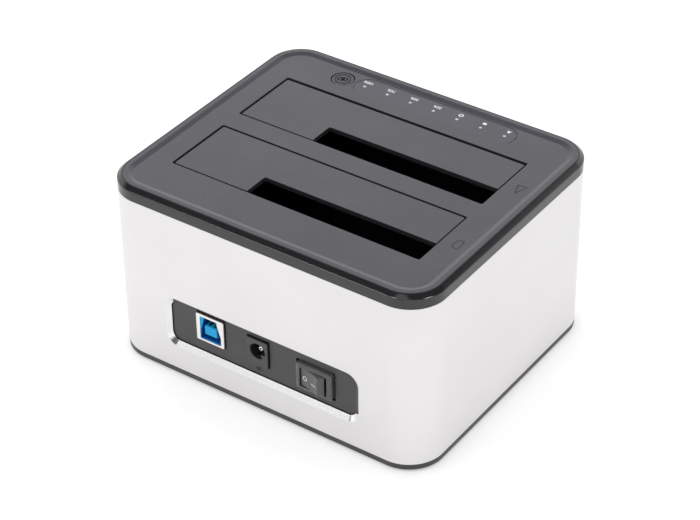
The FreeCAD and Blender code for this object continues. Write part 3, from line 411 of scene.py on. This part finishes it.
def buildSleeve():
    v = sleeveValues
    low, high = caseLow[2] * 1000, caseHigh[2] * 1000
    piece = caseLoop("sleeve", [
        (v["edge"], low), (0, low + v["edge"]), (0, high), (v["wall"], high), (v["wall"], low)])
    front = caseLow[1]
    wall, slope, soft = v["wall"], v["slope"], v["slopeRound"]
    outside, inside = v["skinDepths"]
    # the slope starts with a small round at the outer skin
    section = [(slope * v["slopeOverrun"] + soft, -wall * v["cutterProud"]), (slope + soft, outside),
               (slope, inside), (0, wall), (0, v["cutDepth"])]
    cutter = bmesh.new()
    stackRings(cutter, [[(mm(x), front + mm(depth), mm(z)) for x, z in windowOutline(grow, v["cornerSteps"])]
                        for grow, depth in section])
    cutAway(piece, [newPiece("windowCutter", cutter)])
    tidyFaces(piece)
    smoothFaces(piece, v["sharpAngle"])
    finishPiece(piece, anodisedAluminium, "case", ["housing_sleeve"])
    piece.data.materials.append(diamondCutAluminium)
    steep, shallow = v["slopeFacing"]
    for face in piece.data.polygons:
        onSlope = face.center.y < front + mm(wall) and steep < face.normal.y < shallow
        if onSlope and abs(face.center.x) < mm(v["slopeReach"]):
            face.material_index = 1


buildSleeve()
print("sleeve done")


rimValues = {"side": 73.5, "edgeRadius": 0.6, "edgeTurn": 44, "edgeLow": 0.4, "edgeSteps": 6,
             "slopeInset": 1.65, "slopeDrop": 0.1, "slopeSteps": 8, "crown": 0.03,
             "footRound": ((0.3, 0.0), (0.08, 0.1), (0.0, 0.3)), "plateInset": 1.92, "innerRound": (0.08, 0.1),
             "shelfDrop": 2.4, "shelfThickness": 1.8, "innerInset": 6.1,
             "skirtOut": 1.7, "skirtIn": 3.2, "skirtDrop": 4.0, "sharpAngle": 50}


def buildRim():
    v = rimValues
    low = caseHigh[2] * 1000
    top = plateHigh[2] * 1000 - v["slopeDrop"]
    radius = v["edgeRadius"]
    edgeStart = v["side"] - radius * v["edgeLow"]
    profile = [(inset, low + rise) for inset, rise in v["footRound"]] + [(0.0, edgeStart)]
    for step in range(1, v["edgeSteps"] + 1):
        angle = math.radians(v["edgeTurn"] * step / v["edgeSteps"])
        profile.append((radius * (1 - math.cos(angle)), edgeStart + radius * math.sin(angle)))
    # the slope up to the plate bulges by the crown at its middle
    startInset, startZ = profile[-1]
    for step in range(1, v["slopeSteps"] + 1):
        share = step / v["slopeSteps"]
        profile.append((startInset + (v["slopeInset"] - startInset) * share,
                        startZ + (top - startZ) * share + v["crown"] * 2 * share * (1 - share)))
    shelfTop = plateHigh[2] * 1000 - v["shelfDrop"]
    shelfLow, skirtLow = shelfTop - v["shelfThickness"], low - v["skirtDrop"]
    across, down = v["innerRound"]
    profile += [(v["plateInset"] - across, top), (v["plateInset"], top - down), (v["plateInset"], shelfTop),
                (v["innerInset"], shelfTop), (v["innerInset"], shelfLow), (v["skirtIn"], shelfLow),
                (v["skirtIn"], skirtLow), (v["skirtOut"], skirtLow), (v["skirtOut"], low)]
    piece = caseLoop("lidRim", profile)
    smoothFaces(piece, v["sharpAngle"])
    finishPiece(piece, glossBlackAbs, "case", ["lid_rim"])


buildRim()
print("rim done")


# rounds are (step inwards, height) from the corner that they soften
plateValues = {"inset": 1.97, "border": 1.9, "ridge": 1.8, "recess": 0.6, "thickness": 2.4,
               "outerRound": ((0.0, -0.28), (0.06, -0.12), (0.2, -0.02), (0.35, 0.0)),
               "ridgeTop": ((-0.1, 0.0), (0.0, -0.02), (0.1, -0.06)),
               "ridgeFoot": ((-0.1, 0.05), (0.0, 0.015), (0.12, 0.0)),
               "bayLength": 104.7, "bayDepth": 29.8, "bayCorner": 0.6, "bayCornerSteps": 6,
               "frontGap": 0.2, "backGap": {"front": 0.0, "rear": 0.5}, "flapGap": 0.7, "buttonGap": 0.25,
               "edgeRound": 0.07, "edgeLead": 0.3, "overcut": 2, "sharpAngle": 25}
seatValues = {"gap": 0.2, "frontGap": 0.05, "frontShare": 0.3, "backShare": 1.5, "endShare": 0.7,
              "mouth": 0.08, "cornerSteps": 20}


def bayBoxes():
    v = plateValues
    boxes = []
    for bay in ("front", "rear"):
        low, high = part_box(bay + "_flap")
        x0, y0 = low[0] - mm(v["flapGap"]), low[1] - mm(v["flapGap"])
        boxes.append((x0, x0 + mm(v["bayLength"]), y0 - mm(v["frontGap"]),
                      y0 + mm(v["bayDepth"] + v["backGap"][bay])))
    return boxes


def circlePoints(x, y, radius, count=64):
    return [(x + radius * math.cos(2 * math.pi * i / count), y + radius * math.sin(2 * math.pi * i / count))
            for i in range(count)]


def paintShadeOnWalls(piece, low, high, axis):
    # faces that stand along the axis, inside the given corners, take the dark wall material as painted shade for the
    # gaps
    piece.data.materials.append(paintedShadeWallAbs)
    for face in piece.data.polygons:
        inside = all(low[i] < face.center[i] < high[i] for i in range(3))
        standing = abs(face.normal[axis]) < 0.5
        if inside and standing:
            face.material_index = 1


def lidField():
    # corners of the flat field inside the ridge
    reach = mm(plateValues["inset"] + plateValues["border"] + plateValues["ridge"])
    return ((caseLow[0] + reach, caseLow[1] + reach, 0), (caseHigh[0] - reach, caseHigh[1] - reach, 1))


def cutInlaySeat(piece, flat):
    # the groove round the inlay is open along the back and the ends and shut along the front
    v = seatValues
    low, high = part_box("indicator_inlay")
    end = (high[1] - low[1]) / 2

    def outline(grow):
        wide = mm(v["gap"]) + grow
        return roundedOutline(
            low[0] - wide, high[0] + wide, low[1] + mm(v["frontGap"]) - grow * v["frontShare"],
            high[1] + wide * v["backShare"], end + wide * v["endShare"], v["cornerSteps"])

    mouth = v["mouth"]
    seat = bmesh.new()
    stackRings(seat, [[(x, y, z) for x, y in outline(mm(wide))] for wide, z in (
        (0, low[2]), (0, mm(flat - mouth)), (mouth, mm(flat)), (mouth * 2, mm(flat + plateValues["overcut"])))])
    cutAway(piece, [newPiece("inlaySeat", seat)])


def buildPlate():
    v = plateValues
    top = plateHigh[2] * 1000
    low, flat = top - v["thickness"], top - v["recess"]
    inset = v["inset"]
    border = inset + v["border"]
    inner = border + v["ridge"]
    profile = [(inset, low)]
    for start, height, corner in ((inset, top, "outerRound"), (border, top, "ridgeTop"), (inner, flat, "ridgeFoot")):
        profile += [(start + step, height + rise) for step, rise in v[corner]]
    mesh = bmesh.new()
    stackRings(mesh, [caseRing(i, z) for i, z in profile])
    piece = newPiece("topPlate", mesh)
    soft, lead = v["edgeRound"], v["edgeLead"]

    def funnel(name, outline):
        # cutter whose mouth opens a little at the surface, which leaves a rounded edge round the hole
        mesh = bmesh.new()
        stackRings(mesh, [[(x, y, mm(z)) for x, y in outline(mm(wide))] for wide, z in (
            (0, low - v["overcut"]), (0, flat - soft), (soft * lead, flat - soft * lead), (soft, flat),
            (soft * 2, flat + v["overcut"]))])
        return newPiece(name, mesh)

    def bayFunnel(x0, x1, y0, y1):
        return funnel("bay", lambda grow: roundedOutline(
            x0 - grow, x1 + grow, y0 - grow, y1 + grow, mm(v["bayCorner"]) + grow, v["bayCornerSteps"]))

    cutters = [bayFunnel(*box) for box in bayBoxes()]
    buttonLow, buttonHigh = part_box("clone_button")
    buttonX, buttonY = (buttonLow[0] + buttonHigh[0]) / 2, (buttonLow[1] + buttonHigh[1]) / 2
    holeRadius = (buttonHigh[1] - buttonLow[1]) / 2 + mm(v["buttonGap"])
    cutters.append(funnel("hole", lambda grow: circlePoints(buttonX, buttonY, holeRadius + grow)))
    cutAway(piece, cutters)
    tidyFaces(piece)
    cutInlaySeat(piece, flat)
    smoothFaces(piece, v["sharpAngle"])
    finishPiece(piece, matteGreyAbs, "case", ["top_plate"])
    # the standing walls of the bays and the button hole get painted shade
    paintShadeOnWalls(piece, *lidField(), 2)


buildPlate()
print("plate done")


# rounded copies of the moving and fitted parts: node, piece, edge round, body and slot
softValues = (
    ("front_flap", "frontFlap", 0.13, "front_door", "matte_grey_abs"),
    ("rear_flap", "rearFlap", 0.13, "rear_door", "matte_grey_abs"),
    ("clone_button", "cloneButton", 0.12, "copy_button", "matte_grey_abs"),
    ("rocker", "rockerPaddle", 0.22, "power_rocker", "switch_nylon"),
    ("switch_body", "switchBezel", 0.22, "case", "switch_nylon"),
    ("usb_shell", "usbShell", 0.1, "case", "tin_plate"),
    ("dc_jack_body", "jackBody", 0.12, "case", "jack_nylon"),
    ("connector_panel", "connectorPanel", 0.12, "case", "panel_abs"),
    ("base_plate", "basePlate", 0.15, "case", "black_abs"))
# how far inside the panel's outline the walls of its holes and of the jack that get painted shade are looked for
shadedWallMargins = {"connector_panel": 1.0, "dc_jack_body": -1.0}
for node, name, width, body, slot in softValues:
    copy = finishPiece(softCopy(node, name, mm(width)), slotMaterials[slot], body, [node])
    # the standing edges of the flaps, the panel's hole walls and the jack's sides and bore get painted shade
    if node.endswith("_flap"):
        paintShadeOnWalls(copy, *lidField(), 2)
    if node in shadedWallMargins:
        margin = mm(shadedWallMargins[node])
        paintShadeOnWalls(copy, (panelLow[0] + margin, -1, panelLow[2] + margin),
                    (panelHigh[0] - margin, 1, panelHigh[2] - margin), 1)


insulatorValues = {"edge": 0.1, "tongueHalf": 2.75, "tongueHeights": (22.7, 26.7), "tongueDepth": 8.6}


def buildInsulator():
    # blue block with the tongue: lit and shaded copies of one blue, painted light on the tongue and painted shade on
    # the block
    v = insulatorValues
    low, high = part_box("usb_insulator")
    piece = softCopy("usb_insulator", "usbInsulator", mm(v["edge"]))
    finishPiece(piece, usbBlockShadedNylon, "case", ["usb_insulator"])
    piece.data.materials.append(usbTongueLitNylon)
    middle = (low[0] + high[0]) / 2
    # faces of the tongue take the paler copy as painted light
    tongueLow, tongueHigh = v["tongueHeights"]
    for face in piece.data.polygons:
        x, y, z = face.center
        level = mm(tongueLow) < z < mm(tongueHigh)
        if abs(x - middle) < mm(v["tongueHalf"]) and level and y < low[1] + mm(v["tongueDepth"]):
            face.material_index = 1


buildInsulator()
print("rounded copies done")


markValues = {"lampFirst": -25.3, "lampPitch": 10.14, "lampInset": 12.15, "signInset": 9.15, "dotRadius": 0.6,
              "dotSteps": 28, "textHeight": 2.0, "textWeight": 0.012, "lift": 0.03, "signBand": 0.36,
              "powerRadius": 0.8, "powerArc": (-50, 230), "powerBar": (-1.15, -0.1), "squareHalf": (0.75, 0.6),
              "squareCorner": 0.15, "triangle": ((-0.85, 0.7), (0, -0.8), (0.85, 0.7))}


def markPiece(name, mesh, place, material, body):
    # flat mark drawn in millimetres; place turns (a, b, lift) into a point
    for vertex in mesh.verts:
        vertex.co = place(*vertex.co)
    return finishPiece(newPiece(name, mesh), material, body, [])


def addPatch(mesh, outline, lift):
    # solid flat shape from an outline of points in order
    stackRings(mesh, [[(a, b, depth) for a, b in outline] for depth in (0.0, lift)])


def addBand(mesh, outline, width, lift, closed=True):
    # band of even width along a run of points
    count = len(outline)
    sides = [[], []]
    for index, (a, b) in enumerate(outline):
        before = outline[index - 1] if closed or index else (a, b)
        after = outline[(index + 1) % count] if closed or index < count - 1 else (a, b)
        runs = []
        for (ax, ay), (bx, by) in ((before, (a, b)), ((a, b), after)):
            length = math.hypot(bx - ax, by - ay)
            if length > 0:
                runs.append(((bx - ax) / length, (by - ay) / length))
        alongX, alongY = sum(run[0] for run in runs), sum(run[1] for run in runs)
        size = math.hypot(alongX, alongY)
        normal = (-alongY / size, alongX / size)
        spread = width / 2 / max(meshValues["mitreLimit"], abs(normal[0] * -runs[0][1] + normal[1] * runs[0][0]))
        for side, sign in enumerate((-1, 1)):
            sides[side].append((a + sign * normal[0] * spread, b + sign * normal[1] * spread))
    quads = range(count) if closed else range(count - 1)
    for index in quads:
        after = (index + 1) % count
        block = [sides[0][index], sides[0][after], sides[1][after], sides[1][index]]
        stackRings(mesh, [[(a, b, depth) for a, b in block] for depth in (0.0, lift)])


def arcPoints(x, y, radius, start, end, count=24):
    return [(x + radius * math.cos(math.radians(start + (end - start) * i / count)),
             y + radius * math.sin(math.radians(start + (end - start) * i / count))) for i in range(count + 1)]


def flatText(name, text, height, x, y, z, turn):
    curve = bpy.data.curves.new(name, "FONT")
    curve.body = text
    curve.size = height
    curve.align_x = "CENTER"
    curve.align_y = "CENTER"
    curve.offset = height * markValues["textWeight"]
    curve.extrude = mm(markValues["lift"] / 2)
    curve.resolution_u = 4
    holder = bpy.data.objects.new(name + "Text", curve)
    bpy.context.scene.collection.objects.link(holder)
    bpy.context.view_layer.update()
    data = bpy.data.meshes.new_from_object(holder.evaluated_get(bpy.context.evaluated_depsgraph_get()))
    bpy.data.objects.remove(holder)
    data.transform(Euler((0, 0, turn)).to_matrix().to_4x4())
    for vertex in data.vertices:
        vertex.co += Vector((x, y, z))
    piece = bpy.data.objects.new(name, data)
    bpy.context.scene.collection.objects.link(piece)
    return piece


def buildLampMarks():
    v = markValues
    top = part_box("indicator_inlay")[1][2]
    lampY, signY = caseHigh[1] * 1000 - v["lampInset"], caseHigh[1] * 1000 - v["signInset"]
    places = [v["lampFirst"] + v["lampPitch"] * index for index in range(7)]

    def inkMark(name, mesh, material):
        markPiece(name, mesh, lambda a, b, lift: Vector((mm(a), mm(b), top + mm(lift))), material,
                  "case")

    for index, x in enumerate(places):
        mesh = bmesh.new()
        addPatch(mesh, circlePoints(x, lampY, v["dotRadius"], v["dotSteps"]), v["lift"])
        inkMark("lampWindow%d" % (index + 1), mesh, windowInk)
    for x, text in zip(places, ("100%", "75%", "50%", "25%")):
        piece = flatText("progressMark" + text.rstrip("%"), text, mm(v["textHeight"]),
                         mm(x), mm(signY), top + mm(v["lift"] / 2), math.pi)
        finishPiece(piece, whiteInk, "case", [])
    # ring with a bar, square and triangle over the last three lamps
    powerX, squareX, triangleX = places[4:]
    mesh = bmesh.new()
    addBand(mesh, arcPoints(powerX, signY, v["powerRadius"], *v["powerArc"]), v["signBand"], v["lift"], closed=False)
    addBand(mesh, [(powerX, signY + b) for b in v["powerBar"]], v["signBand"], v["lift"], closed=False)
    inkMark("powerMark", mesh, whiteInk)
    mesh = bmesh.new()
    halfWide, halfHigh = v["squareHalf"]
    addPatch(mesh, roundedOutline(squareX - halfWide, squareX + halfWide, signY - halfHigh, signY + halfHigh,
                                  v["squareCorner"], 3), v["lift"])
    inkMark("squareMark", mesh, whiteInk)
    mesh = bmesh.new()
    addPatch(mesh, [(triangleX + a, signY + b) for a, b in v["triangle"]], v["lift"])
    inkMark("triangleMark", mesh, whiteInk)


lidMarkValues = {"band": 0.24, "lift": 0.03, "liftShare": 0.3,
                 "triangle": ((57.6, 16.0), (56.0, 20.9), (59.5, 21.3)),
                 "square": ((59.1, -23.1), (58.9, -18.5), (58.5, -18.3), (56.9, -18.6), (56.6, -18.9),
                            (56.4, -22.7), (56.7, -23.0), (58.9, -23.3)),
                 "ringRadius": 2.75, "ringBand": 0.28, "sheetShift": (0.6, 0.35), "sheetHalf": (1.05, 0.8),
                 "sheetCorner": 0.4, "sheetBand": 0.55}


def buildLidMarks():
    # shallow engraved signs beside the bays and on the copy button, drawn as flat dark strips: painted shade in place
    # of the grooves
    v = lidMarkValues
    flat = plateHigh[2] - mm(plateValues["recess"])
    low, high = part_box("clone_button")
    x, y = (low[0] + high[0]) * 500, (low[1] + high[1]) * 500

    def onLid(a, b, lift):
        return Vector((mm(a), mm(b), flat + mm(lift * v["liftShare"])))

    def onButton(a, b, lift):
        return Vector((mm(x + a), mm(y + b), high[2] + mm(lift * v["liftShare"])))

    for name, outline in (("bayTriangle", v["triangle"]), ("baySquare", v["square"])):
        mesh = bmesh.new()
        addBand(mesh, outline, v["band"], v["lift"])
        markPiece(name, mesh, onLid, darkSignAndShadeLine, "case")
    mesh = bmesh.new()
    addBand(mesh, circlePoints(0, 0, v["ringRadius"]), v["ringBand"], v["lift"])
    # two overlapping sheets inside the ring
    (shiftX, shiftY), (halfX, halfY) = v["sheetShift"], v["sheetHalf"]
    for side in (-1, 1):
        addBand(mesh, roundedOutline(side * shiftX - halfX, side * shiftX + halfX, side * shiftY - halfY,
                                     side * shiftY + halfY, v["sheetCorner"], 5), v["sheetBand"], v["lift"])
    markPiece("copyMark", mesh, onButton, darkSignAndShadeLine, "copy_button")


rockerValues = {"tilt": -15.0, "halfFace": 4.4, "reach": 5.1, "dish": 0.35, "lift": 0.03,
                "ringX": -2.35, "ringZ": -0.2, "ringRadius": 0.85, "ringBand": 0.3, "ringSteps": 28,
                "barX": 2.0, "barZ": -0.6, "barHalf": 1.05, "barBand": 0.34}


def buildRockerMarks():
    v = rockerValues
    joint = next(joint for joint in frame["joints"] if joint["name"] == "rocker_hinge")
    pivot = Vector(joint["pos_m"])
    turn = Euler((0, 0, math.radians(v["tilt"]))).to_matrix()

    def onRocker(a, b, lift):
        hollow = v["dish"] * (1 - (a / v["halfFace"]) ** 2)
        return pivot + turn @ Vector((mm(a), mm(hollow - v["reach"] - lift), mm(b)))

    mesh = bmesh.new()
    addBand(mesh, circlePoints(v["ringX"], v["ringZ"], v["ringRadius"], v["ringSteps"]), v["ringBand"], v["lift"])
    markPiece("ringMark", mesh, onRocker, whiteInk, "power_rocker")
    mesh = bmesh.new()
    bar = [(v["barX"] + side * v["barHalf"], v["barZ"]) for side in (-1, 1)]
    addBand(mesh, bar, v["barBand"], v["lift"], closed=False)
    markPiece("barMark", mesh, onRocker, whiteInk, "power_rocker")


panelMarkValues = {"height": 17.2, "dotRadius": 0.32, "arcRadius": 0.75, "arc": (45, 315),
                   "lines": ((0.3, 1.7), (-1.7, -0.8)), "band": 0.18, "lift": 0.02,
                   "shadowLineGrow": 0.12, "shadowLineBand": 0.7, "shadowLineSteps": 8}


def panelPlace(x, z):
    # turns (a, b, lift) round a centre into a point on the panel's face
    return lambda a, b, lift: Vector((mm(x + a), panelLow[1] - mm(lift), mm(z + b)))


def buildPanelMarks():
    # generic plug polarity sign under the power inlet
    v = panelMarkValues
    low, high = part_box("dc_jack_body")
    mesh = bmesh.new()
    addPatch(mesh, circlePoints(0, 0, v["dotRadius"], 16), v["lift"])
    addBand(mesh, arcPoints(0, 0, v["arcRadius"], *v["arc"]), v["band"], v["lift"], closed=False)
    for start, end in v["lines"]:
        addBand(mesh, [(start, 0), (end, 0)], v["band"], v["lift"], closed=False)
    markPiece("polaritySign", mesh, panelPlace((low[0] + high[0]) * 500, v["height"]), darkSignAndShadeLine,
              "case")
    # painted shadow: a dark band where the panel meets the window's edge, in place of the shade in the gap there
    mesh = bmesh.new()
    addBand(mesh, windowOutline(v["shadowLineGrow"], v["shadowLineSteps"]), v["shadowLineBand"], v["lift"])
    markPiece("panelShadowLine", mesh, panelPlace(0, 0), darkSignAndShadeLine, "case")


buildLampMarks()
buildLidMarks()
buildRockerMarks()
buildPanelMarks()
print("marks done")


# softboxes are (direction, cosine of the edge's angle, strength)
stageValues = {
    "camera": (0.38333, -0.54750, 0.51549), "turn": (54.1219, 0.4533, 34.7465), "lens": 116.496,
    "sensor": 36.0, "clip": (0.01, 20.0),
    "skyLow": 0.22, "skyHigh": 1.05, "skyTop": 0.9, "roomGrey": 0.13, "wallGlow": 1.25,
    "backWall": (-0.577, 0.816, 0.0), "wallTurn": (-0.2, 0.8), "wallTop": (0.2, 0.78), "wallSoft": (-0.12, 0.16),
    "floorGrey": "#DADADA", "floorGlow": 0.4, "floorHalf": 4.0, "boxFade": 0.5,
    "softboxes": (((-0.464, -0.75, 0.472), 0.95, 0.85), ((-0.464, -0.62, 0.63), 0.991, 9.0),
                  ((-0.2, -0.7, 0.68), 0.985, 9.0), ((0.8, -0.06, 0.6), 0.975, 10.0),
                  ((0.556, -0.692, 0.461), 0.93, 1.0), ((0.06, -0.66, 0.75), 0.94, 1.0)),
    "lamps": (("topLamp", (-0.25, 0.25, 1.4), (0, 0, 0.05), (1.2, 1.2), 5.0),
              ("sideLamp", (-0.9, -1.1, 0.9), (0, 0, 0.04), (0.6, 0.6), 2.5))}


def buildFloor():
    mesh = bmesh.new()
    half = stageValues["floorHalf"]
    mesh.faces.new([mesh.verts.new((x * half, y * half, 0)) for x, y in ((-1, -1), (1, -1), (1, 1), (-1, 1))])
    floor = newPiece("studioFloor", mesh)
    material = bpy.data.materials.new("studioPaper")
    material.use_nodes = True
    tree = material.node_tree
    tree.nodes.clear()
    # white paper sweep: shows white to the lens and to reflections, and keeps the soft shadow
    paper = addNode(tree, "ShaderNodeBsdfDiffuse", inputs={"Color": linearColour(stageValues["floorGrey"])})
    glow = addNode(tree, "ShaderNodeEmission", inputs={"Strength": stageValues["floorGlow"]})
    path = addNode(tree, "ShaderNodeLightPath")
    seen = addNode(tree, "ShaderNodeMath", {"operation": "MAXIMUM"}, {
        0: path.outputs["Is Camera Ray"], 1: path.outputs["Is Glossy Ray"]})
    seen = addNode(tree, "ShaderNodeMath", {"operation": "MAXIMUM"}, {
        0: seen.outputs[0], 1: path.outputs["Is Transmission Ray"]})
    both = addNode(tree, "ShaderNodeAddShader", inputs={0: paper.outputs[0], 1: glow.outputs[0]})
    mix = addNode(tree, "ShaderNodeMixShader", inputs={
        0: seen.outputs[0], 1: paper.outputs[0], 2: both.outputs[0]})
    addNode(tree, "ShaderNodeOutputMaterial", inputs={"Surface": mix.outputs[0]})
    floor.data.materials.append(material)


def buildWorld():
    v = stageValues
    world = bpy.data.worlds.new("studio")
    bpy.context.scene.world = world
    world.use_nodes = True
    tree = world.node_tree
    tree.nodes.clear()
    direction = addNode(tree, "ShaderNodeTexCoord").outputs["Generated"]
    height = addNode(tree, "ShaderNodeSeparateXYZ", inputs={"Vector": direction}).outputs["Z"]
    # even light from above that falls off towards the horizon
    sky = addNode(tree, "ShaderNodeMapRange", inputs={
        "Value": height, "From Min": 0.0, "From Max": v["skyTop"], "To Min": v["skyLow"], "To Max": v["skyHigh"]})
    even = addNode(tree, "ShaderNodeBackground", inputs={"Color": (1, 1, 1, 1), "Strength": sky.outputs["Result"]})
    # gloss sees a white wall, tall behind the object and low in front, under a dim ceiling
    facing = addNode(tree, "ShaderNodeVectorMath", {"operation": "DOT_PRODUCT"}, {0: direction, 1: v["backWall"]})
    (turnLow, turnHigh), (topLow, topHigh), (softLow, softHigh) = v["wallTurn"], v["wallTop"], v["wallSoft"]
    wallTop = addNode(tree, "ShaderNodeMapRange", inputs={
        "Value": facing.outputs["Value"], "From Min": turnLow, "From Max": turnHigh,
        "To Min": topLow, "To Max": topHigh})
    below = addNode(tree, "ShaderNodeMath", {"operation": "SUBTRACT"}, {0: wallTop.outputs["Result"], 1: height})
    wall = addNode(tree, "ShaderNodeMapRange", {"interpolation_type": "SMOOTHSTEP"}, {
        "Value": below.outputs[0], "From Min": softLow, "From Max": softHigh,
        "To Min": v["roomGrey"], "To Max": v["wallGlow"]})
    seenLight = wall.outputs["Result"]
    # softboxes that only gloss sees, as bright lines on edges and bevels
    for centre, edge, strength in v["softboxes"]:
        near = addNode(tree, "ShaderNodeVectorMath", {"operation": "DOT_PRODUCT"}, {0: direction, 1: centre})
        box = addNode(tree, "ShaderNodeMapRange", {"interpolation_type": "SMOOTHSTEP"}, {
            "Value": near.outputs["Value"], "From Min": edge, "From Max": edge + (1 - edge) * v["boxFade"],
            "To Min": 0.0, "To Max": strength})
        seenLight = addNode(tree, "ShaderNodeMath", {"operation": "ADD"}, {
            0: seenLight, 1: box.outputs["Result"]}).outputs[0]
    gloss = addNode(tree, "ShaderNodeBackground", inputs={"Color": (1, 1, 1, 1), "Strength": seenLight})
    white = addNode(tree, "ShaderNodeBackground", inputs={"Color": (1, 1, 1, 1), "Strength": 1.0})
    path = addNode(tree, "ShaderNodeLightPath")
    mirror = addNode(tree, "ShaderNodeMath", {"operation": "MAXIMUM"}, {
        0: path.outputs["Is Glossy Ray"], 1: path.outputs["Is Transmission Ray"]})
    first = addNode(tree, "ShaderNodeMixShader", inputs={
        0: mirror.outputs[0], 1: even.outputs[0], 2: gloss.outputs[0]})
    second = addNode(tree, "ShaderNodeMixShader", inputs={
        0: path.outputs["Is Camera Ray"], 1: first.outputs[0], 2: white.outputs[0]})
    addNode(tree, "ShaderNodeOutputWorld", inputs={"Surface": second.outputs[0]})


def addLamp(name, place, target, size, watts):
    data = bpy.data.lights.new(name, "AREA")
    data.shape = "RECTANGLE"
    data.size, data.size_y = size
    data.energy = watts
    lamp = bpy.data.objects.new(name, data)
    lamp.location = place
    lamp.rotation_euler = (Vector(target) - Vector(place)).to_track_quat("-Z", "Y").to_euler()
    # gloss sees the softboxes instead
    lamp.visible_glossy = False
    bpy.context.scene.collection.objects.link(lamp)


def buildCamera():
    data = bpy.data.cameras.new("camera")
    data.lens = stageValues["lens"]
    data.sensor_width = stageValues["sensor"]
    data.clip_start, data.clip_end = stageValues["clip"]
    camera = bpy.data.objects.new("camera", data)
    camera.location = stageValues["camera"]
    camera.rotation_euler = [math.radians(value) for value in stageValues["turn"]]
    bpy.context.scene.collection.objects.link(camera)
    bpy.context.scene.camera = camera


buildFloor()
buildWorld()
for lamp in stageValues["lamps"]:
    addLamp(*lamp)
buildCamera()
bpy.context.scene.view_settings.view_transform = "Standard"
print("stage done")
